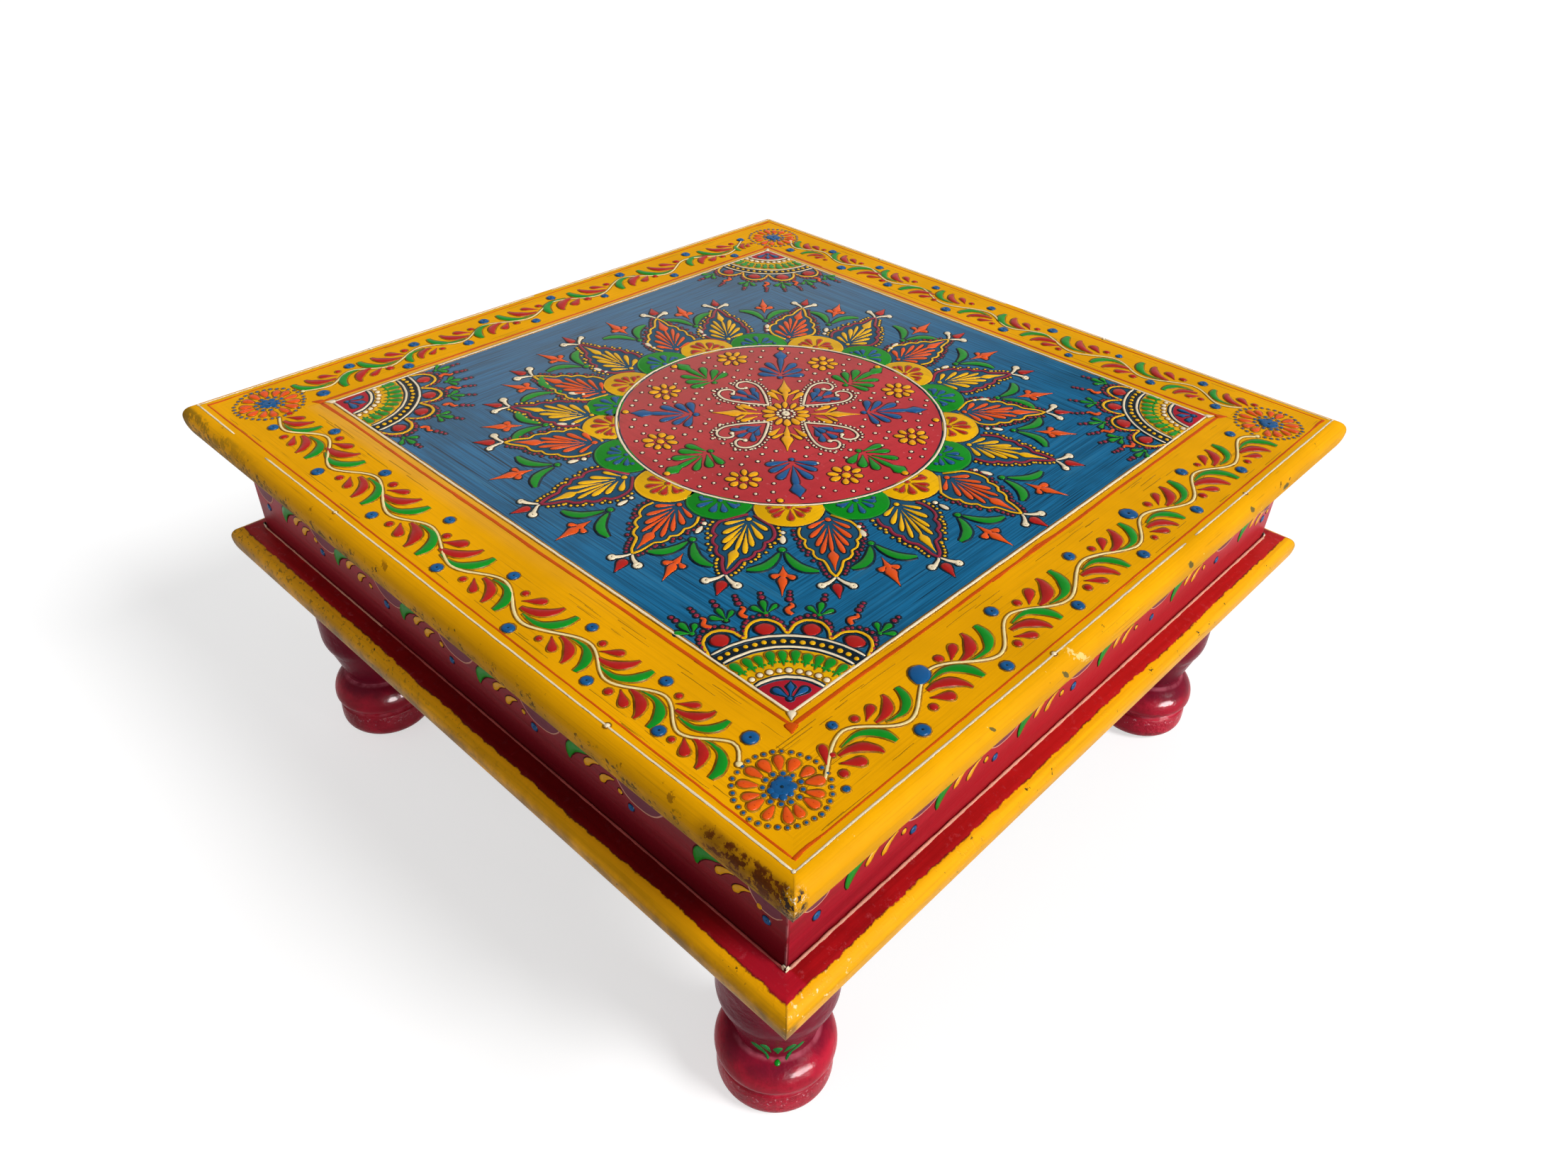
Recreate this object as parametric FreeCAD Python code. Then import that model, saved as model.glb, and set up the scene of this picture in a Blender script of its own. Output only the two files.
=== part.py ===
import FreeCAD, Part
import math
import os

# A small square low table in painted wood. The origin is on the floor, under the middle of the top.
# +Z is up, -Y is the front, +X is the right. All sizes are in millimetres.

os.makedirs("parts", exist_ok=True)
Vector = FreeCAD.Vector
UP = Vector(0, 0, 1)

# Heights, from the floor up
leg_height = 85.0
base_thickness = 12.0
apron_height = 41.0
top_thickness = 12.0

# The top: a mitred frame round a panel, measured from the middle of the table
top_half = 152.5
panel_thickness = 8.0
tongue_length = 5.0
tongue_thickness = 3.0
tongue_depth = 3.0
panel_play = 0.3

# The rounded nose that both frames have
nose_round = 5.0
nose_undercut = 1.8

# How far the apron and the base frame stand back from the edge of the top
apron_setback = 13.0
apron_thickness = 10.0
base_setback = 2.3

# The turned legs
leg_inset = 21.0
leg_radius = 19.75
foot_round = 5.5
tenon_radius = 7.0
tenon_grip = 25.0
tenon_chamfer = 1.5
tenon_clearance = 0.1

# Radii of the turned shapes, as shares of the leg's largest radius, which is at the bulb
leg_top_share = 0.942
cup_radius_share = 0.977
shoulder_radius_share = 0.876
neck_radius_share = 0.68
bead_radius_share = 0.94
groove_radius_share = 0.88
disc_radius_share = 0.965

# Where the turned shapes lie, as shares of the leg's height below the base frame
cup_share = 0.22
cup_end_share = 0.42
shoulder_share = 0.51
cone_end_share = 0.665
neck_end_share = 0.69
bulb_share = 0.8
bead_end_share = 0.832
groove_share = 0.845
disc_start_share = 0.858
disc_share = 0.92

# The blocks inside the corners and the battens under the top
block_side = 34.0
block_chamfer = 13.0
block_clearance = 0.1
cleat_side = 12.0
cleat_end_gap = 20.5

# How far each frame reaches inside what it covers: the cleats above, the legs below
top_rail_lap = 4.0
base_rail_lap = 3.7

# The wood screws
screw_radius = 1.6
screw_head_radius = 3.2
screw_head_height = 1.8
screw_tip = 4.0
screw_bite = 7.0
base_screw_bite = 20.0
screw_clearance = 0.05
screw_point_radius = 0.4
screw_end_gap = 20.0
block_screw_step = 6.0

# How far a cutting solid runs past what it cuts
overrun = 10.0

base_bottom = leg_height
base_top = base_bottom + base_thickness
top_bottom = base_top + apron_height
top_face = top_bottom + top_thickness
apron_half = top_half - apron_setback
apron_inner = apron_half - apron_thickness
cleat_half = apron_inner - block_side - cleat_end_gap
panel_half = apron_inner - cleat_side - top_rail_lap
base_half = top_half - base_setback
leg_place = apron_half - leg_inset
base_inner = leg_place - leg_radius - base_rail_lap

SIDES = ("front", "right", "back", "left")
CORNERS = ("front_right", "back_right", "back_left", "front_left")
FULL_TURN = 360.0
QUARTER = FULL_TURN / len(SIDES)


def turned(shape, quarters):
    """A copy of a front or front right piece, turned to another side of the table."""
    copy = shape.copy()
    copy.rotate(Vector(), UP, QUARTER * quarters)
    return copy


def quarter_arc(start, corner, end):
    """A quarter round from start to end, bulging towards their outer corner."""
    centre = start + end - corner
    middle = centre + (corner - centre) * math.sqrt(0.5)
    return Part.Arc(start, middle, end).toShape()


def side_arc(widest, end):
    """An arc that leaves the widest point straight down or up, and ends at a narrower point."""
    inward = (widest - end).dot(Vector(1, 0, 0))
    along = end.z - widest.z
    radius = (inward ** 2 + along ** 2) / (2 * inward)
    half_angle = math.asin(along / radius) / 2
    centre = widest - Vector(radius, 0, 0)
    middle = centre + Vector(radius * math.cos(half_angle), 0, radius * math.sin(half_angle))
    return Part.Arc(widest, middle, end).toShape()


def path(points):
    """Straight edges through the points, in order."""
    return [Part.makeLine(a, b) for a, b in zip(points, points[1:])]


def wedge(low, high):
    """The space over the front quarter of the plan, between its two mitre planes."""
    reach = top_half + overrun
    plan = Part.makePolygon([Vector(), Vector(-reach, -reach), Vector(reach, -reach), Vector()])
    prism = Part.Face(plan).extrude(Vector(0, 0, high - low))
    prism.translate(Vector(0, 0, low))
    return prism


def mitred(section, half_length):
    """A front piece: its section stands in the XZ plane, +X outwards, and runs between the mitres."""
    bar = Part.Face(Part.Wire(section)).extrude(Vector(0, 2 * half_length, 0))
    bar.translate(Vector(0, -half_length, 0))
    bar.rotate(Vector(), UP, -QUARTER)
    return bar.common(wedge(-overrun, top_face + overrun))


def nosed_edges(inner, outer, low, high):
    """The section of a rail with a rounded nose, from its top inner corner round to its lower one."""
    nose = Vector(outer, 0, high - nose_round)
    top_arris = Vector(outer - nose_round, 0, high)
    low_arris = Vector(outer - nose_undercut, 0, low)
    edges = path([Vector(inner, 0, high), top_arris])
    edges.append(quarter_arc(top_arris, Vector(outer, 0, high), nose))
    edges.append(side_arc(nose, low_arris))
    edges += path([low_arris, Vector(inner, 0, low)])
    return edges


def screw(length, clearance=0.0):
    """A countersunk wood screw that points up from its head's face, or the hole for it."""
    radius = screw_radius + clearance
    head = Part.makeCone(screw_head_radius + clearance, radius, screw_head_height)
    shank = Part.makeCylinder(radius, length - screw_tip, Vector(), UP)
    point = screw_point_radius + clearance
    tip = Part.makeCone(radius, point, screw_tip + clearance, Vector(0, 0, length - screw_tip))
    return head.fuse([shank, tip]).removeSplitter()


def screw_places():
    """Where the two screws of one side stand along it, near the ends of its cleat."""
    return (screw_end_gap - cleat_half, cleat_half - screw_end_gap)


def base_screw(along, clearance=0.0):
    """A screw through the front base rail, up into the edge of the front apron."""
    body = screw(base_thickness + base_screw_bite, clearance)
    body.translate(Vector(along, -(apron_half + apron_inner) / 2, base_bottom))
    return body


def cleat_screw(along, clearance=0.0):
    """A screw through the front cleat, up into the front top rail."""
    body = screw(cleat_side + screw_bite, clearance)
    body.translate(Vector(along, -(apron_inner - cleat_side / 2), top_bottom - cleat_side))
    return body


def block_screws(clearance=0.0):
    """The two screws through the front right block, one into each apron, one above the other."""
    length = block_side + screw_bite
    face = apron_inner - block_side
    inside = apron_inner - block_side / 2
    middle = (base_top + tenon_grip + top_bottom) / 2
    into_right = screw(length, clearance)
    into_right.rotate(Vector(), Vector(0, 1, 0), QUARTER)
    into_right.translate(Vector(face, -inside, middle - block_screw_step / 2))
    into_front = screw(length, clearance)
    into_front.rotate(Vector(), Vector(1, 0, 0), QUARTER)
    into_front.translate(Vector(inside, -face, middle + block_screw_step / 2))
    return [into_right, into_front]


def tenon_hole(depth):
    """The hole for the front right tenon, from under the base frame up."""
    place = Vector(leg_place, -leg_place, base_bottom - overrun)
    return Part.makeCylinder(tenon_radius + tenon_clearance, depth + overrun, place, UP)


def top_panel():
    """The field of the top, with a tongue all round that the rails hold."""
    plate = Part.makeBox(2 * panel_half, 2 * panel_half, panel_thickness)
    plate.translate(Vector(-panel_half, -panel_half, top_face - panel_thickness))
    half = panel_half + tongue_length - panel_play
    tongue = Part.makeBox(2 * half, 2 * half, tongue_thickness)
    tongue.translate(Vector(-half, -half, top_face - tongue_depth - tongue_thickness))
    return plate.fuse(tongue).removeSplitter()


def top_rail():
    """The front rail of the top frame, grooved for the panel's tongue."""
    edges = nosed_edges(panel_half, top_half, top_bottom, top_face)
    groove_top = top_face - tongue_depth
    groove_low = groove_top - tongue_thickness
    groove_end = panel_half + tongue_length
    edges += path([
        Vector(panel_half, 0, top_bottom),
        Vector(panel_half, 0, groove_low),
        Vector(groove_end, 0, groove_low),
        Vector(groove_end, 0, groove_top),
        Vector(panel_half, 0, groove_top),
        Vector(panel_half, 0, top_face),
    ])
    rail = mitred(edges, top_half)
    return rail.cut([cleat_screw(x, screw_clearance) for x in screw_places()])


def apron():
    """The front board of the box, with holes for the screws that hold it."""
    edges = path([
        Vector(apron_inner, 0, base_top),
        Vector(apron_half, 0, base_top),
        Vector(apron_half, 0, top_bottom),
        Vector(apron_inner, 0, top_bottom),
        Vector(apron_inner, 0, base_top),
    ])
    board = mitred(edges, apron_half)
    right_pair = block_screws(screw_clearance)
    left_pair = [turned(pin, -1) for pin in right_pair]
    holes = [base_screw(x, screw_clearance) for x in screw_places()]
    return board.cut(holes + right_pair + left_pair)


def base_rail():
    """The front rail of the base frame. The legs' tenons pass through its mitres."""
    edges = nosed_edges(base_inner, base_half, base_bottom, base_top)
    edges += path([Vector(base_inner, 0, base_bottom), Vector(base_inner, 0, base_top)])
    rail = mitred(edges, base_half)
    hole = tenon_hole(base_thickness + overrun)
    holes = [base_screw(x, screw_clearance) for x in screw_places()]
    return rail.cut([hole, turned(hole, -1)] + holes)


def corner_block():
    """The front right block, bored for the leg's tenon."""
    outer = apron_inner - block_clearance
    inner = outer - block_side
    plan = Part.makePolygon([
        Vector(outer, -outer, base_top),
        Vector(outer, -inner, base_top),
        Vector(inner + block_chamfer, -inner, base_top),
        Vector(inner, -inner - block_chamfer, base_top),
        Vector(inner, -outer, base_top),
        Vector(outer, -outer, base_top),
    ])
    block = Part.Face(plan).extrude(Vector(0, 0, apron_height))
    hole = tenon_hole(base_thickness + tenon_grip + tenon_clearance)
    return block.cut([hole] + block_screws(screw_clearance))


def cleat():
    """The front batten, in the corner under the top and behind the apron."""
    bar = Part.makeBox(2 * cleat_half, cleat_side, cleat_side)
    bar.translate(Vector(-cleat_half, -apron_inner, top_bottom - cleat_side))
    return bar.cut([cleat_screw(x, screw_clearance) for x in screw_places()])


def leg():
    """The front right leg: a tenon, a tall cup, a neck, a bulb and a disc, turned in one piece."""

    def at(radius_share, height_share):
        return Vector(leg_radius * radius_share, 0, leg_height * (1 - height_share))

    tenon_top = base_top + tenon_grip
    leg_top = at(leg_top_share, 0)
    cup = at(cup_radius_share, cup_share)
    cup_end = at(cup_radius_share, cup_end_share)
    shoulder = at(shoulder_radius_share, shoulder_share)
    bulb = at(1, bulb_share)
    bulb_start = at(neck_radius_share, neck_end_share)
    bulb_end = at(bead_radius_share, bead_end_share)
    disc = at(disc_radius_share, disc_share)
    disc_start = at(bead_radius_share, disc_start_share)
    foot_edge = Vector(disc.x, 0, foot_round)
    foot_sole = Vector(disc.x - foot_round, 0, 0)
    edges = path([
        Vector(0, 0, 0),
        Vector(0, 0, tenon_top),
        Vector(tenon_radius - tenon_chamfer, 0, tenon_top),
        Vector(tenon_radius, 0, tenon_top - tenon_chamfer),
        Vector(tenon_radius, 0, leg_height),
        leg_top,
    ])
    edges += [side_arc(cup, leg_top), side_arc(cup_end, shoulder)]
    edges += path([cup, cup_end])
    edges += path([shoulder, at(neck_radius_share, cone_end_share), bulb_start])
    edges += [side_arc(bulb, bulb_start), side_arc(bulb, bulb_end)]
    edges += path([bulb_end, at(groove_radius_share, groove_share), disc_start])
    edges.append(side_arc(disc, disc_start))
    edges += path([disc, foot_edge])
    edges.append(quarter_arc(foot_edge, Vector(disc.x, 0, 0), foot_sole))
    edges += path([foot_sole, Vector(0, 0, 0)])
    profile = Part.Wire(Part.sortEdges(edges)[0])
    body = Part.Face(profile).revolve(Vector(), UP, FULL_TURN)
    body.translate(Vector(leg_place, -leg_place, 0))
    return body


def save(name, shapes):
    """One file for one node: a single solid, or a group of equal fasteners."""
    shape = shapes[0] if len(shapes) == 1 else Part.makeCompound(shapes)
    solids = shape.Solids
    sound = all(solid.isValid() and solid.isClosed() for solid in solids)
    print(name, "solids", len(solids), "sound", sound, "volume", round(shape.Volume, 1))
    shape.exportStep(os.path.join("parts", name + ".step"))


def all_sides(front_shapes):
    """The front shapes, copied to the four sides."""
    return [turned(shape, n) for n in range(len(SIDES)) for shape in front_shapes]


save("top_panel", [top_panel()])
for name, make in (("top_rail", top_rail), ("apron", apron), ("base_rail", base_rail), ("cleat", cleat)):
    front = make()
    for n, side in enumerate(SIDES):
        save(name + "_" + side, [turned(front, n)])
for name, make in (("corner_block", corner_block), ("leg", leg)):
    front_right = make()
    for n, corner in enumerate(CORNERS):
        save(name + "_" + corner, [turned(front_right, n)])
save("base_screws", all_sides([base_screw(x) for x in screw_places()]))
save("cleat_screws", all_sides([cleat_screw(x) for x in screw_places()]))
save("block_screws", all_sides(block_screws()))
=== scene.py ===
import math
import random

import bpy
import numpy as np
from bpy.props import FloatProperty, FloatVectorProperty, PointerProperty
from mathutils import Matrix, Vector
from mathutils.bvhtree import BVHTree


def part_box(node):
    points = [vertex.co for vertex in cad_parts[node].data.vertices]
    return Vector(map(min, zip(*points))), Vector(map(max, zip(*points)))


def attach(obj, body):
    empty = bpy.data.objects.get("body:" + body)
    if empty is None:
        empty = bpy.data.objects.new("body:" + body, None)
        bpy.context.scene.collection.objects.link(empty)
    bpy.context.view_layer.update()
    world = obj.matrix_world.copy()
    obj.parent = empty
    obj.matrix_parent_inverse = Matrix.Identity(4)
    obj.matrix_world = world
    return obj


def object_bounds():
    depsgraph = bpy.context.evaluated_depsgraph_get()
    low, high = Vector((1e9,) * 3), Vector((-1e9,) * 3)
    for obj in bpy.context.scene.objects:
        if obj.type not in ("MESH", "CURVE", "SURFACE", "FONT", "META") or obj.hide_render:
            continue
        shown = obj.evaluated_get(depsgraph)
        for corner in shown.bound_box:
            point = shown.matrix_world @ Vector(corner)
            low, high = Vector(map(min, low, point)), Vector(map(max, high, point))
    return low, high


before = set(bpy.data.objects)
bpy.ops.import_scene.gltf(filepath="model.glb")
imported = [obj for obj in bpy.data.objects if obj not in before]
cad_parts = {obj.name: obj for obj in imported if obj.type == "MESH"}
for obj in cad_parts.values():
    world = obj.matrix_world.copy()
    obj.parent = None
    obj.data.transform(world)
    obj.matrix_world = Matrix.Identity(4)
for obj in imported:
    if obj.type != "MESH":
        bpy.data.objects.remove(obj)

bl_info = {
    "name": "Painted Bajot Low Table",
    "version": (1, 0, 0),
    "blender": (4, 5, 0),
    "location": "3D View > Sidebar > Bajot",
    "description": "Dresses the low table's frame in enamel and raised cone paint",
    "category": "Object",
}

MM = 0.001
FULL_TURN = 360
CAD_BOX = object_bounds()

# The heights that the frame gives, in metres above the floor
TOP_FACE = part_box("top_panel")[1].z
TOP_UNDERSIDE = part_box("top_rail_front")[0].z
APRON_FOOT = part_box("apron_front")[0].z
APRON_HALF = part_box("apron_front")[1].x
BASE_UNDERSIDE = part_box("base_rail_front")[0].z
BASE_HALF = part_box("base_rail_front")[1].x
BASE_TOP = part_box("base_rail_front")[1].z
LEG_SIDES = ("front_right", "back_right", "back_left", "front_left")


def linear(colour):
    """A written colour such as E8A800 as the linear numbers that Blender keeps; other colours stay as they are."""
    if not isinstance(colour, str):
        return tuple(colour)
    parts = [int(colour[k:k + 2], 16) / 255 for k in (0, 2, 4)]
    return tuple(p / 12.92 if p <= 0.04045 else ((p + 0.055) / 1.055) ** 2.4 for p in parts)


def darker(colour, share):
    """The same colour with its light cut to a share."""
    return tuple(c * share for c in colour[:3])


def length(name, description, default):
    """A length property, given in millimetres and kept in metres."""
    return FloatProperty(name=name, description=description, default=default * MM, unit="LENGTH", precision=4)


def mm(name):
    """A size of the sidebar in millimetres."""
    return getattr(bpy.context.scene.bajot_sizes, name) / MM


def hue(name, description, code):
    """A colour property with its written default."""
    return FloatVectorProperty(
        name=name, description=description, default=linear(code), subtype="COLOR", min=0.0, max=1.0
    )


class BajotSizes(bpy.types.PropertyGroup):
    """Sizes of the painted ornament."""

    field_left: length("Field left", "Left side of the blue field", -117.1)
    field_right: length("Field right", "Right side of the blue field", 112.9)
    field_front: length("Field front", "Front side of the blue field", -111.7)
    field_back: length("Field back", "Back side of the blue field", 115.7)
    disc_x: length("Disc across", "Middle of the red disc from left to right", 3.2)
    disc_y: length("Disc along", "Middle of the red disc from front to back", -0.6)
    disc_radius: length("Disc radius", "Radius of the red disc", 59.8)
    bead_width: length("Bead width", "Width of a white bead line", 0.95)
    wash_width: length("Wash width", "How far the dark wash shows round a stroke", 0.36)
    coat: length("Coat", "Thickness of a flat painted patch", 0.15)


class BajotColours(bpy.types.PropertyGroup):
    """Colours of the enamel, the cone paint and the wood."""

    yellow: hue("Yellow", "Border and noses", "F4AB02")
    lemon: hue("Lemon", "Yellow strokes and lobes round the disc", "F2B604")
    blue: hue("Blue", "Square field", "1C6C99")
    red: hue("Disc red", "Disc in the middle", "C6343C")
    green: hue("Green", "Leaves and lobes", "0A8C1C")
    orange: hue("Orange", "Fleurs and orange lines", "EA5614")
    cream: hue("Cream", "White lines and dots", "F4E2C0")
    vine_cream: hue("Vine cream", "White of the vines", "F2DC9C")
    dot_blue: hue("Dot blue", "Blue dots and drops", "12568E")
    deep_red: hue("Deep red", "Dark red lines and dots", "96203A")
    stroke_red: hue("Stroke red", "Red strokes of the border", "B41C16")
    mauve: hue("Mauve", "Mauve over the upper band of the aprons", "7C4A56")
    enamel: hue("Enamel", "Aprons", "A81428")
    ledge_enamel: hue("Ledge enamel", "Base frame", "B0161C")
    leg_enamel: hue("Leg enamel", "Turned legs", "BC1A34")
    wood: hue("Wood", "Bare wood inside and under", "A87848")


class BajotStage(bpy.types.PropertyGroup):
    """Camera and light."""

    eye: FloatVectorProperty(
        name="Eye", description="Place of the camera", default=(0.2489, -0.2652, 0.3455), unit="LENGTH"
    )
    look: FloatVectorProperty(
        name="Look", description="Way the camera looks", default=(-0.5365, 0.5885, -0.6048), subtype="DIRECTION"
    )
    roll: FloatProperty(
        name="Roll", description="Turn of the camera about its look", default=math.radians(2.04), subtype="ANGLE"
    )
    lens: FloatProperty(name="Lens", description="Focal length in millimetres", default=25.44)
    key: FloatProperty(name="Key", description="Strength of the main light", default=2.65)
    side: FloatProperty(name="Side", description="Strength of the low light from the right", default=0.42)
    fill: FloatProperty(name="Fill", description="Strength of the fill light", default=0.15)
    gleam: FloatProperty(name="Gleam", description="Strength of the light that only gloss shows", default=32.0)
    sky: FloatProperty(name="Sky", description="Strength of the world light", default=0.33)


# Node building


def feed(node, key, value):
    """Gives an input a plain value, or the output of another node."""
    if isinstance(value, bpy.types.Node):
        value = value.outputs[0]
    if isinstance(value, bpy.types.NodeSocket):
        node.id_data.links.new(value, node.inputs[key])
    else:
        node.inputs[key].default_value = value


def add(home, kind, inputs=None, **settings):
    """One node in the tree of home, which is the tree itself or a node or socket of it."""
    made = home.id_data.nodes.new(kind)
    for key, value in settings.items():
        setattr(made, key, value)
    for key, value in (inputs or {}).items():
        feed(made, key, value)
    return made


def calc(operation, *values):
    """A sum, product or comparison of values, in the tree of the first output among them."""
    home = next(value for value in values if isinstance(value, bpy.types.NodeSocket))
    return add(home, "ShaderNodeMath", dict(enumerate(values)), operation=operation).outputs[0]


def times(first, *others):
    """The product of values."""
    for other in others:
        first = calc("MULTIPLY", first, other)
    return first


def plus(first, *others):
    """The sum of values."""
    for other in others:
        first = calc("ADD", first, other)
    return first


def minus(first, second):
    """The difference of two values."""
    return calc("SUBTRACT", first, second)


def size_of(value):
    """The value without its sign."""
    return calc("ABSOLUTE", value)


def ramp(value, low, high):
    """0 below low, 1 above high and smooth between them; the other way round where low is above high."""
    inputs = {"Value": value, "From Min": low, "From Max": high}
    return add(value, "ShaderNodeMapRange", inputs, interpolation_type="SMOOTHSTEP").outputs[0]


def spread(value, low, high):
    """A value from 0 to 1 spread evenly between low and high."""
    return add(value, "ShaderNodeMapRange", {"Value": value, "To Min": low, "To Max": high}).outputs[0]


def over(ground, colour, *shares):
    """The ground passing into a colour by the product of the shares."""
    share = times(*shares)
    pair = [c if isinstance(c, bpy.types.NodeSocket) else (*linear(c)[:3], 1.0) for c in (ground, colour)]
    return add(share, "ShaderNodeMix", {0: share, 6: pair[0], 7: pair[1]}, data_type="RGBA").outputs[2]


def noise(place, scale, detail=3.0, roughness=0.55):
    """Soft noise at a scale of so many grains per metre."""
    inputs = {"Vector": place, "Scale": scale, "Detail": detail, "Roughness": roughness}
    return add(place, "ShaderNodeTexNoise", inputs).outputs[0]


def spots(place, scale, detail, roughness, low, high):
    """Soft spots where the noise lies above a bound."""
    return ramp(noise(place, scale, detail, roughness), low, high)


def moved(place, amount, operation="ADD"):
    """A place with a vector added, taken away or multiplied in."""
    return add(place, "ShaderNodeVectorMath", {0: place, 1: amount}, operation=operation).outputs[0]


def new_group(name, inputs, outputs, kind="ShaderNodeTree"):
    """An empty node group with named sockets, what it is given and the node that takes its results."""
    group = bpy.data.node_groups.new(name, kind)
    for socket_name, socket_kind, value in inputs:
        socket = group.interface.new_socket(socket_name, in_out="INPUT", socket_type="NodeSocket" + socket_kind)
        if value is not None:
            socket.default_value = value
    for socket_name, socket_kind in outputs:
        group.interface.new_socket(socket_name, in_out="OUTPUT", socket_type="NodeSocket" + socket_kind)
    return group, group.nodes.new("NodeGroupInput").outputs, group.nodes.new("NodeGroupOutput")


def use(name, place, **inputs):
    """What a shared group puts out at a place, with its own values."""
    node = add(place, "ShaderNodeGroup", node_tree=GROUPS[name])
    for key, value in {"place": place, **inputs}.items():
        feed(node, key.capitalize(), value)
    return node.outputs


def streak_group():
    """Brush streaks that run along the nearest side of the square."""
    group, given, result = new_group(
        "Brush streaks", [("Place", "Vector", None), ("Along", "Float", 30.0), ("Across", "Float", 2000.0)],
        [("Streak", "Float"), ("Blotch", "Float"), ("Scratch", "Float")]
    )
    place = given["Place"]
    x, y, z = add(group, "ShaderNodeSeparateXYZ", {0: place}).outputs
    across_y = calc("GREATER_THAN", size_of(y), size_of(x))
    nearest = add(group, "ShaderNodeMix", {0: across_y, 2: y, 3: x})
    other = add(group, "ShaderNodeMix", {0: across_y, 2: x, 3: y})
    along = times(nearest.outputs[0], given["Along"])
    across = times(other.outputs[0], given["Across"])
    third = plus(times(z, given["Across"]), times(across_y, 7.3))
    stretched = add(group, "ShaderNodeCombineXYZ", {0: along, 1: across, 2: third})
    feed(result, "Streak", noise(stretched, 1.0, 4.0, 0.6))
    feed(result, "Blotch", noise(place, 22.0, 4.0, 0.6))
    sparse = noise(moved(stretched, (31.7, 11.3, 5.1)), 1.0, 2.0, 0.4)
    feed(result, "Scratch", ramp(sparse, 0.62, 0.7))
    return group


def chip_group():
    """Sparse chips and rubbed spots, and also the pale painted glints of the noses."""
    group, given, result = new_group(
        "Chips", [("Place", "Vector", None), ("Scale", "Float", 260.0), ("Amount", "Float", 0.3)], [("Mask", "Float")]
    )
    spots = noise(given["Place"], given["Scale"], 5.0, 0.65)
    where = noise(given["Place"], 34.0, 2.0, 0.5)
    bar = minus(1.12, times(given["Amount"], 0.42))
    feed(result, "Mask", ramp(minus(plus(spots, times(where, 0.5)), bar), 0.0, 0.03))
    return group


def foot_group():
    """The dark wash that settles at the foot of a raised stroke."""
    group, given, result = new_group(
        "Foot wash", [("Rise", "Float", 0.0), ("Place", "Vector", None), ("Reach", "Float", 0.2)], [("Mask", "Float")]
    )
    broken = times(noise(given["Place"], 700.0, 2.0, 0.5), 0.22)
    lifted = minus(given["Rise"], minus(broken, 0.11))
    feed(result, "Mask", ramp(calc("DIVIDE", lifted, given["Reach"]), 1.0, 0.25))
    return group


def grain_group():
    """Bare wood with long grain along the nearest side."""
    group, given, result = new_group(
        "Wood grain", [("Place", "Vector", None)], [("Tone", "Float"), ("Height", "Float")]
    )
    streaks = use("streaks", given["Place"], along=9.0, across=260.0)
    fine = use("streaks", given["Place"], along=40.0, across=1600.0)
    tone = plus(times(streaks[0], 0.7), times(fine[0], 0.3))
    feed(result, "Tone", ramp(tone, 0.35, 0.65))
    feed(result, "Height", fine[0])
    return group


def make_sheen_group():
    """Painted sheen: a pale veil that stands in for the reflection on the field, more to the left, none at the right,
    on the upper face alone.
    """
    group, given, result = new_group("Dull haze", [("Place", "Vector", None)], [("Haze", "Float")])
    x, y, z, size = around(given["Place"])
    left = ramp(x, 0.075, -0.085)
    middle = plus(times(ramp(y, -0.11, -0.02), 0.4), 0.6)
    field = times(ramp(size, 0.122, 0.117), calc("GREATER_THAN", z, TOP_FACE - MM))
    feed(result, "Haze", times(left, middle, field))
    return group


GROUPS = {}


def shader_groups():
    """Builds the shared groups once; the grain is made of streaks, so the streaks come first."""
    makers = (streak_group, chip_group, foot_group, grain_group, make_sheen_group)
    if not GROUPS:
        for name, maker in zip(("streaks", "chips", "foot", "grain", "haze"), makers):
            GROUPS[name] = maker()


def new_material(name):
    """An empty material with its shader and its place, ready for nodes."""
    shader_groups()
    material = bpy.data.materials.new(name)
    material.use_nodes = True
    tree = material.node_tree
    tree.nodes.clear()
    shader = add(tree, "ShaderNodeBsdfPrincipled")
    add(tree, "ShaderNodeOutputMaterial", {"Surface": shader})
    return material, shader, add(tree, "ShaderNodeTexCoord").outputs["Object"]


def finish_shader(shader, colour, roughness, height, strength, distance=0.0003, **fixed):
    """Feeds the shader its colour, roughness and bump, and sets the plain values on its own sockets."""
    bump = add(shader, "ShaderNodeBump", {"Height": height, "Strength": strength, "Distance": distance})
    fixed = {key.replace("_", " "): value for key, value in fixed.items()}
    for key, value in {"Base Color": colour, "Roughness": roughness, "Normal": bump, **fixed}.items():
        feed(shader, key, value)


def around(place):
    """The three coordinates and the distance from the middle to the nearest side of the square."""
    x, y, z = add(place, "ShaderNodeSeparateXYZ", {0: place}).outputs
    return x, y, z, calc("MAXIMUM", size_of(x), size_of(y))


def mirrored(place):
    """The coordinates turned end for end, so that a shared effect falls elsewhere."""
    return moved(place, (-1.0, -1.0, 1.0), "MULTIPLY")


def mitre_mask(x, y, half):
    """A thin line where the mitred sides meet."""
    return ramp(size_of(minus(size_of(x), size_of(y))), half, half * 0.3)


def bare_wood(place, colour):
    """Colour of bare wood, and the height of its grain."""
    grain = use("grain", place)
    return over(darker(colour, 0.5), colour, grain["Tone"]), grain["Height"]


def one_way(place):
    """The place moved so far to the right that the grain runs one way all over."""
    return moved(place, (1.0, 0.0, 0.0))


def with_sheen(place, paint, share):
    """The paint with its share of the painted sheen."""
    return over(paint, "AA9B89", use("haze", place)[0], share)


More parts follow.
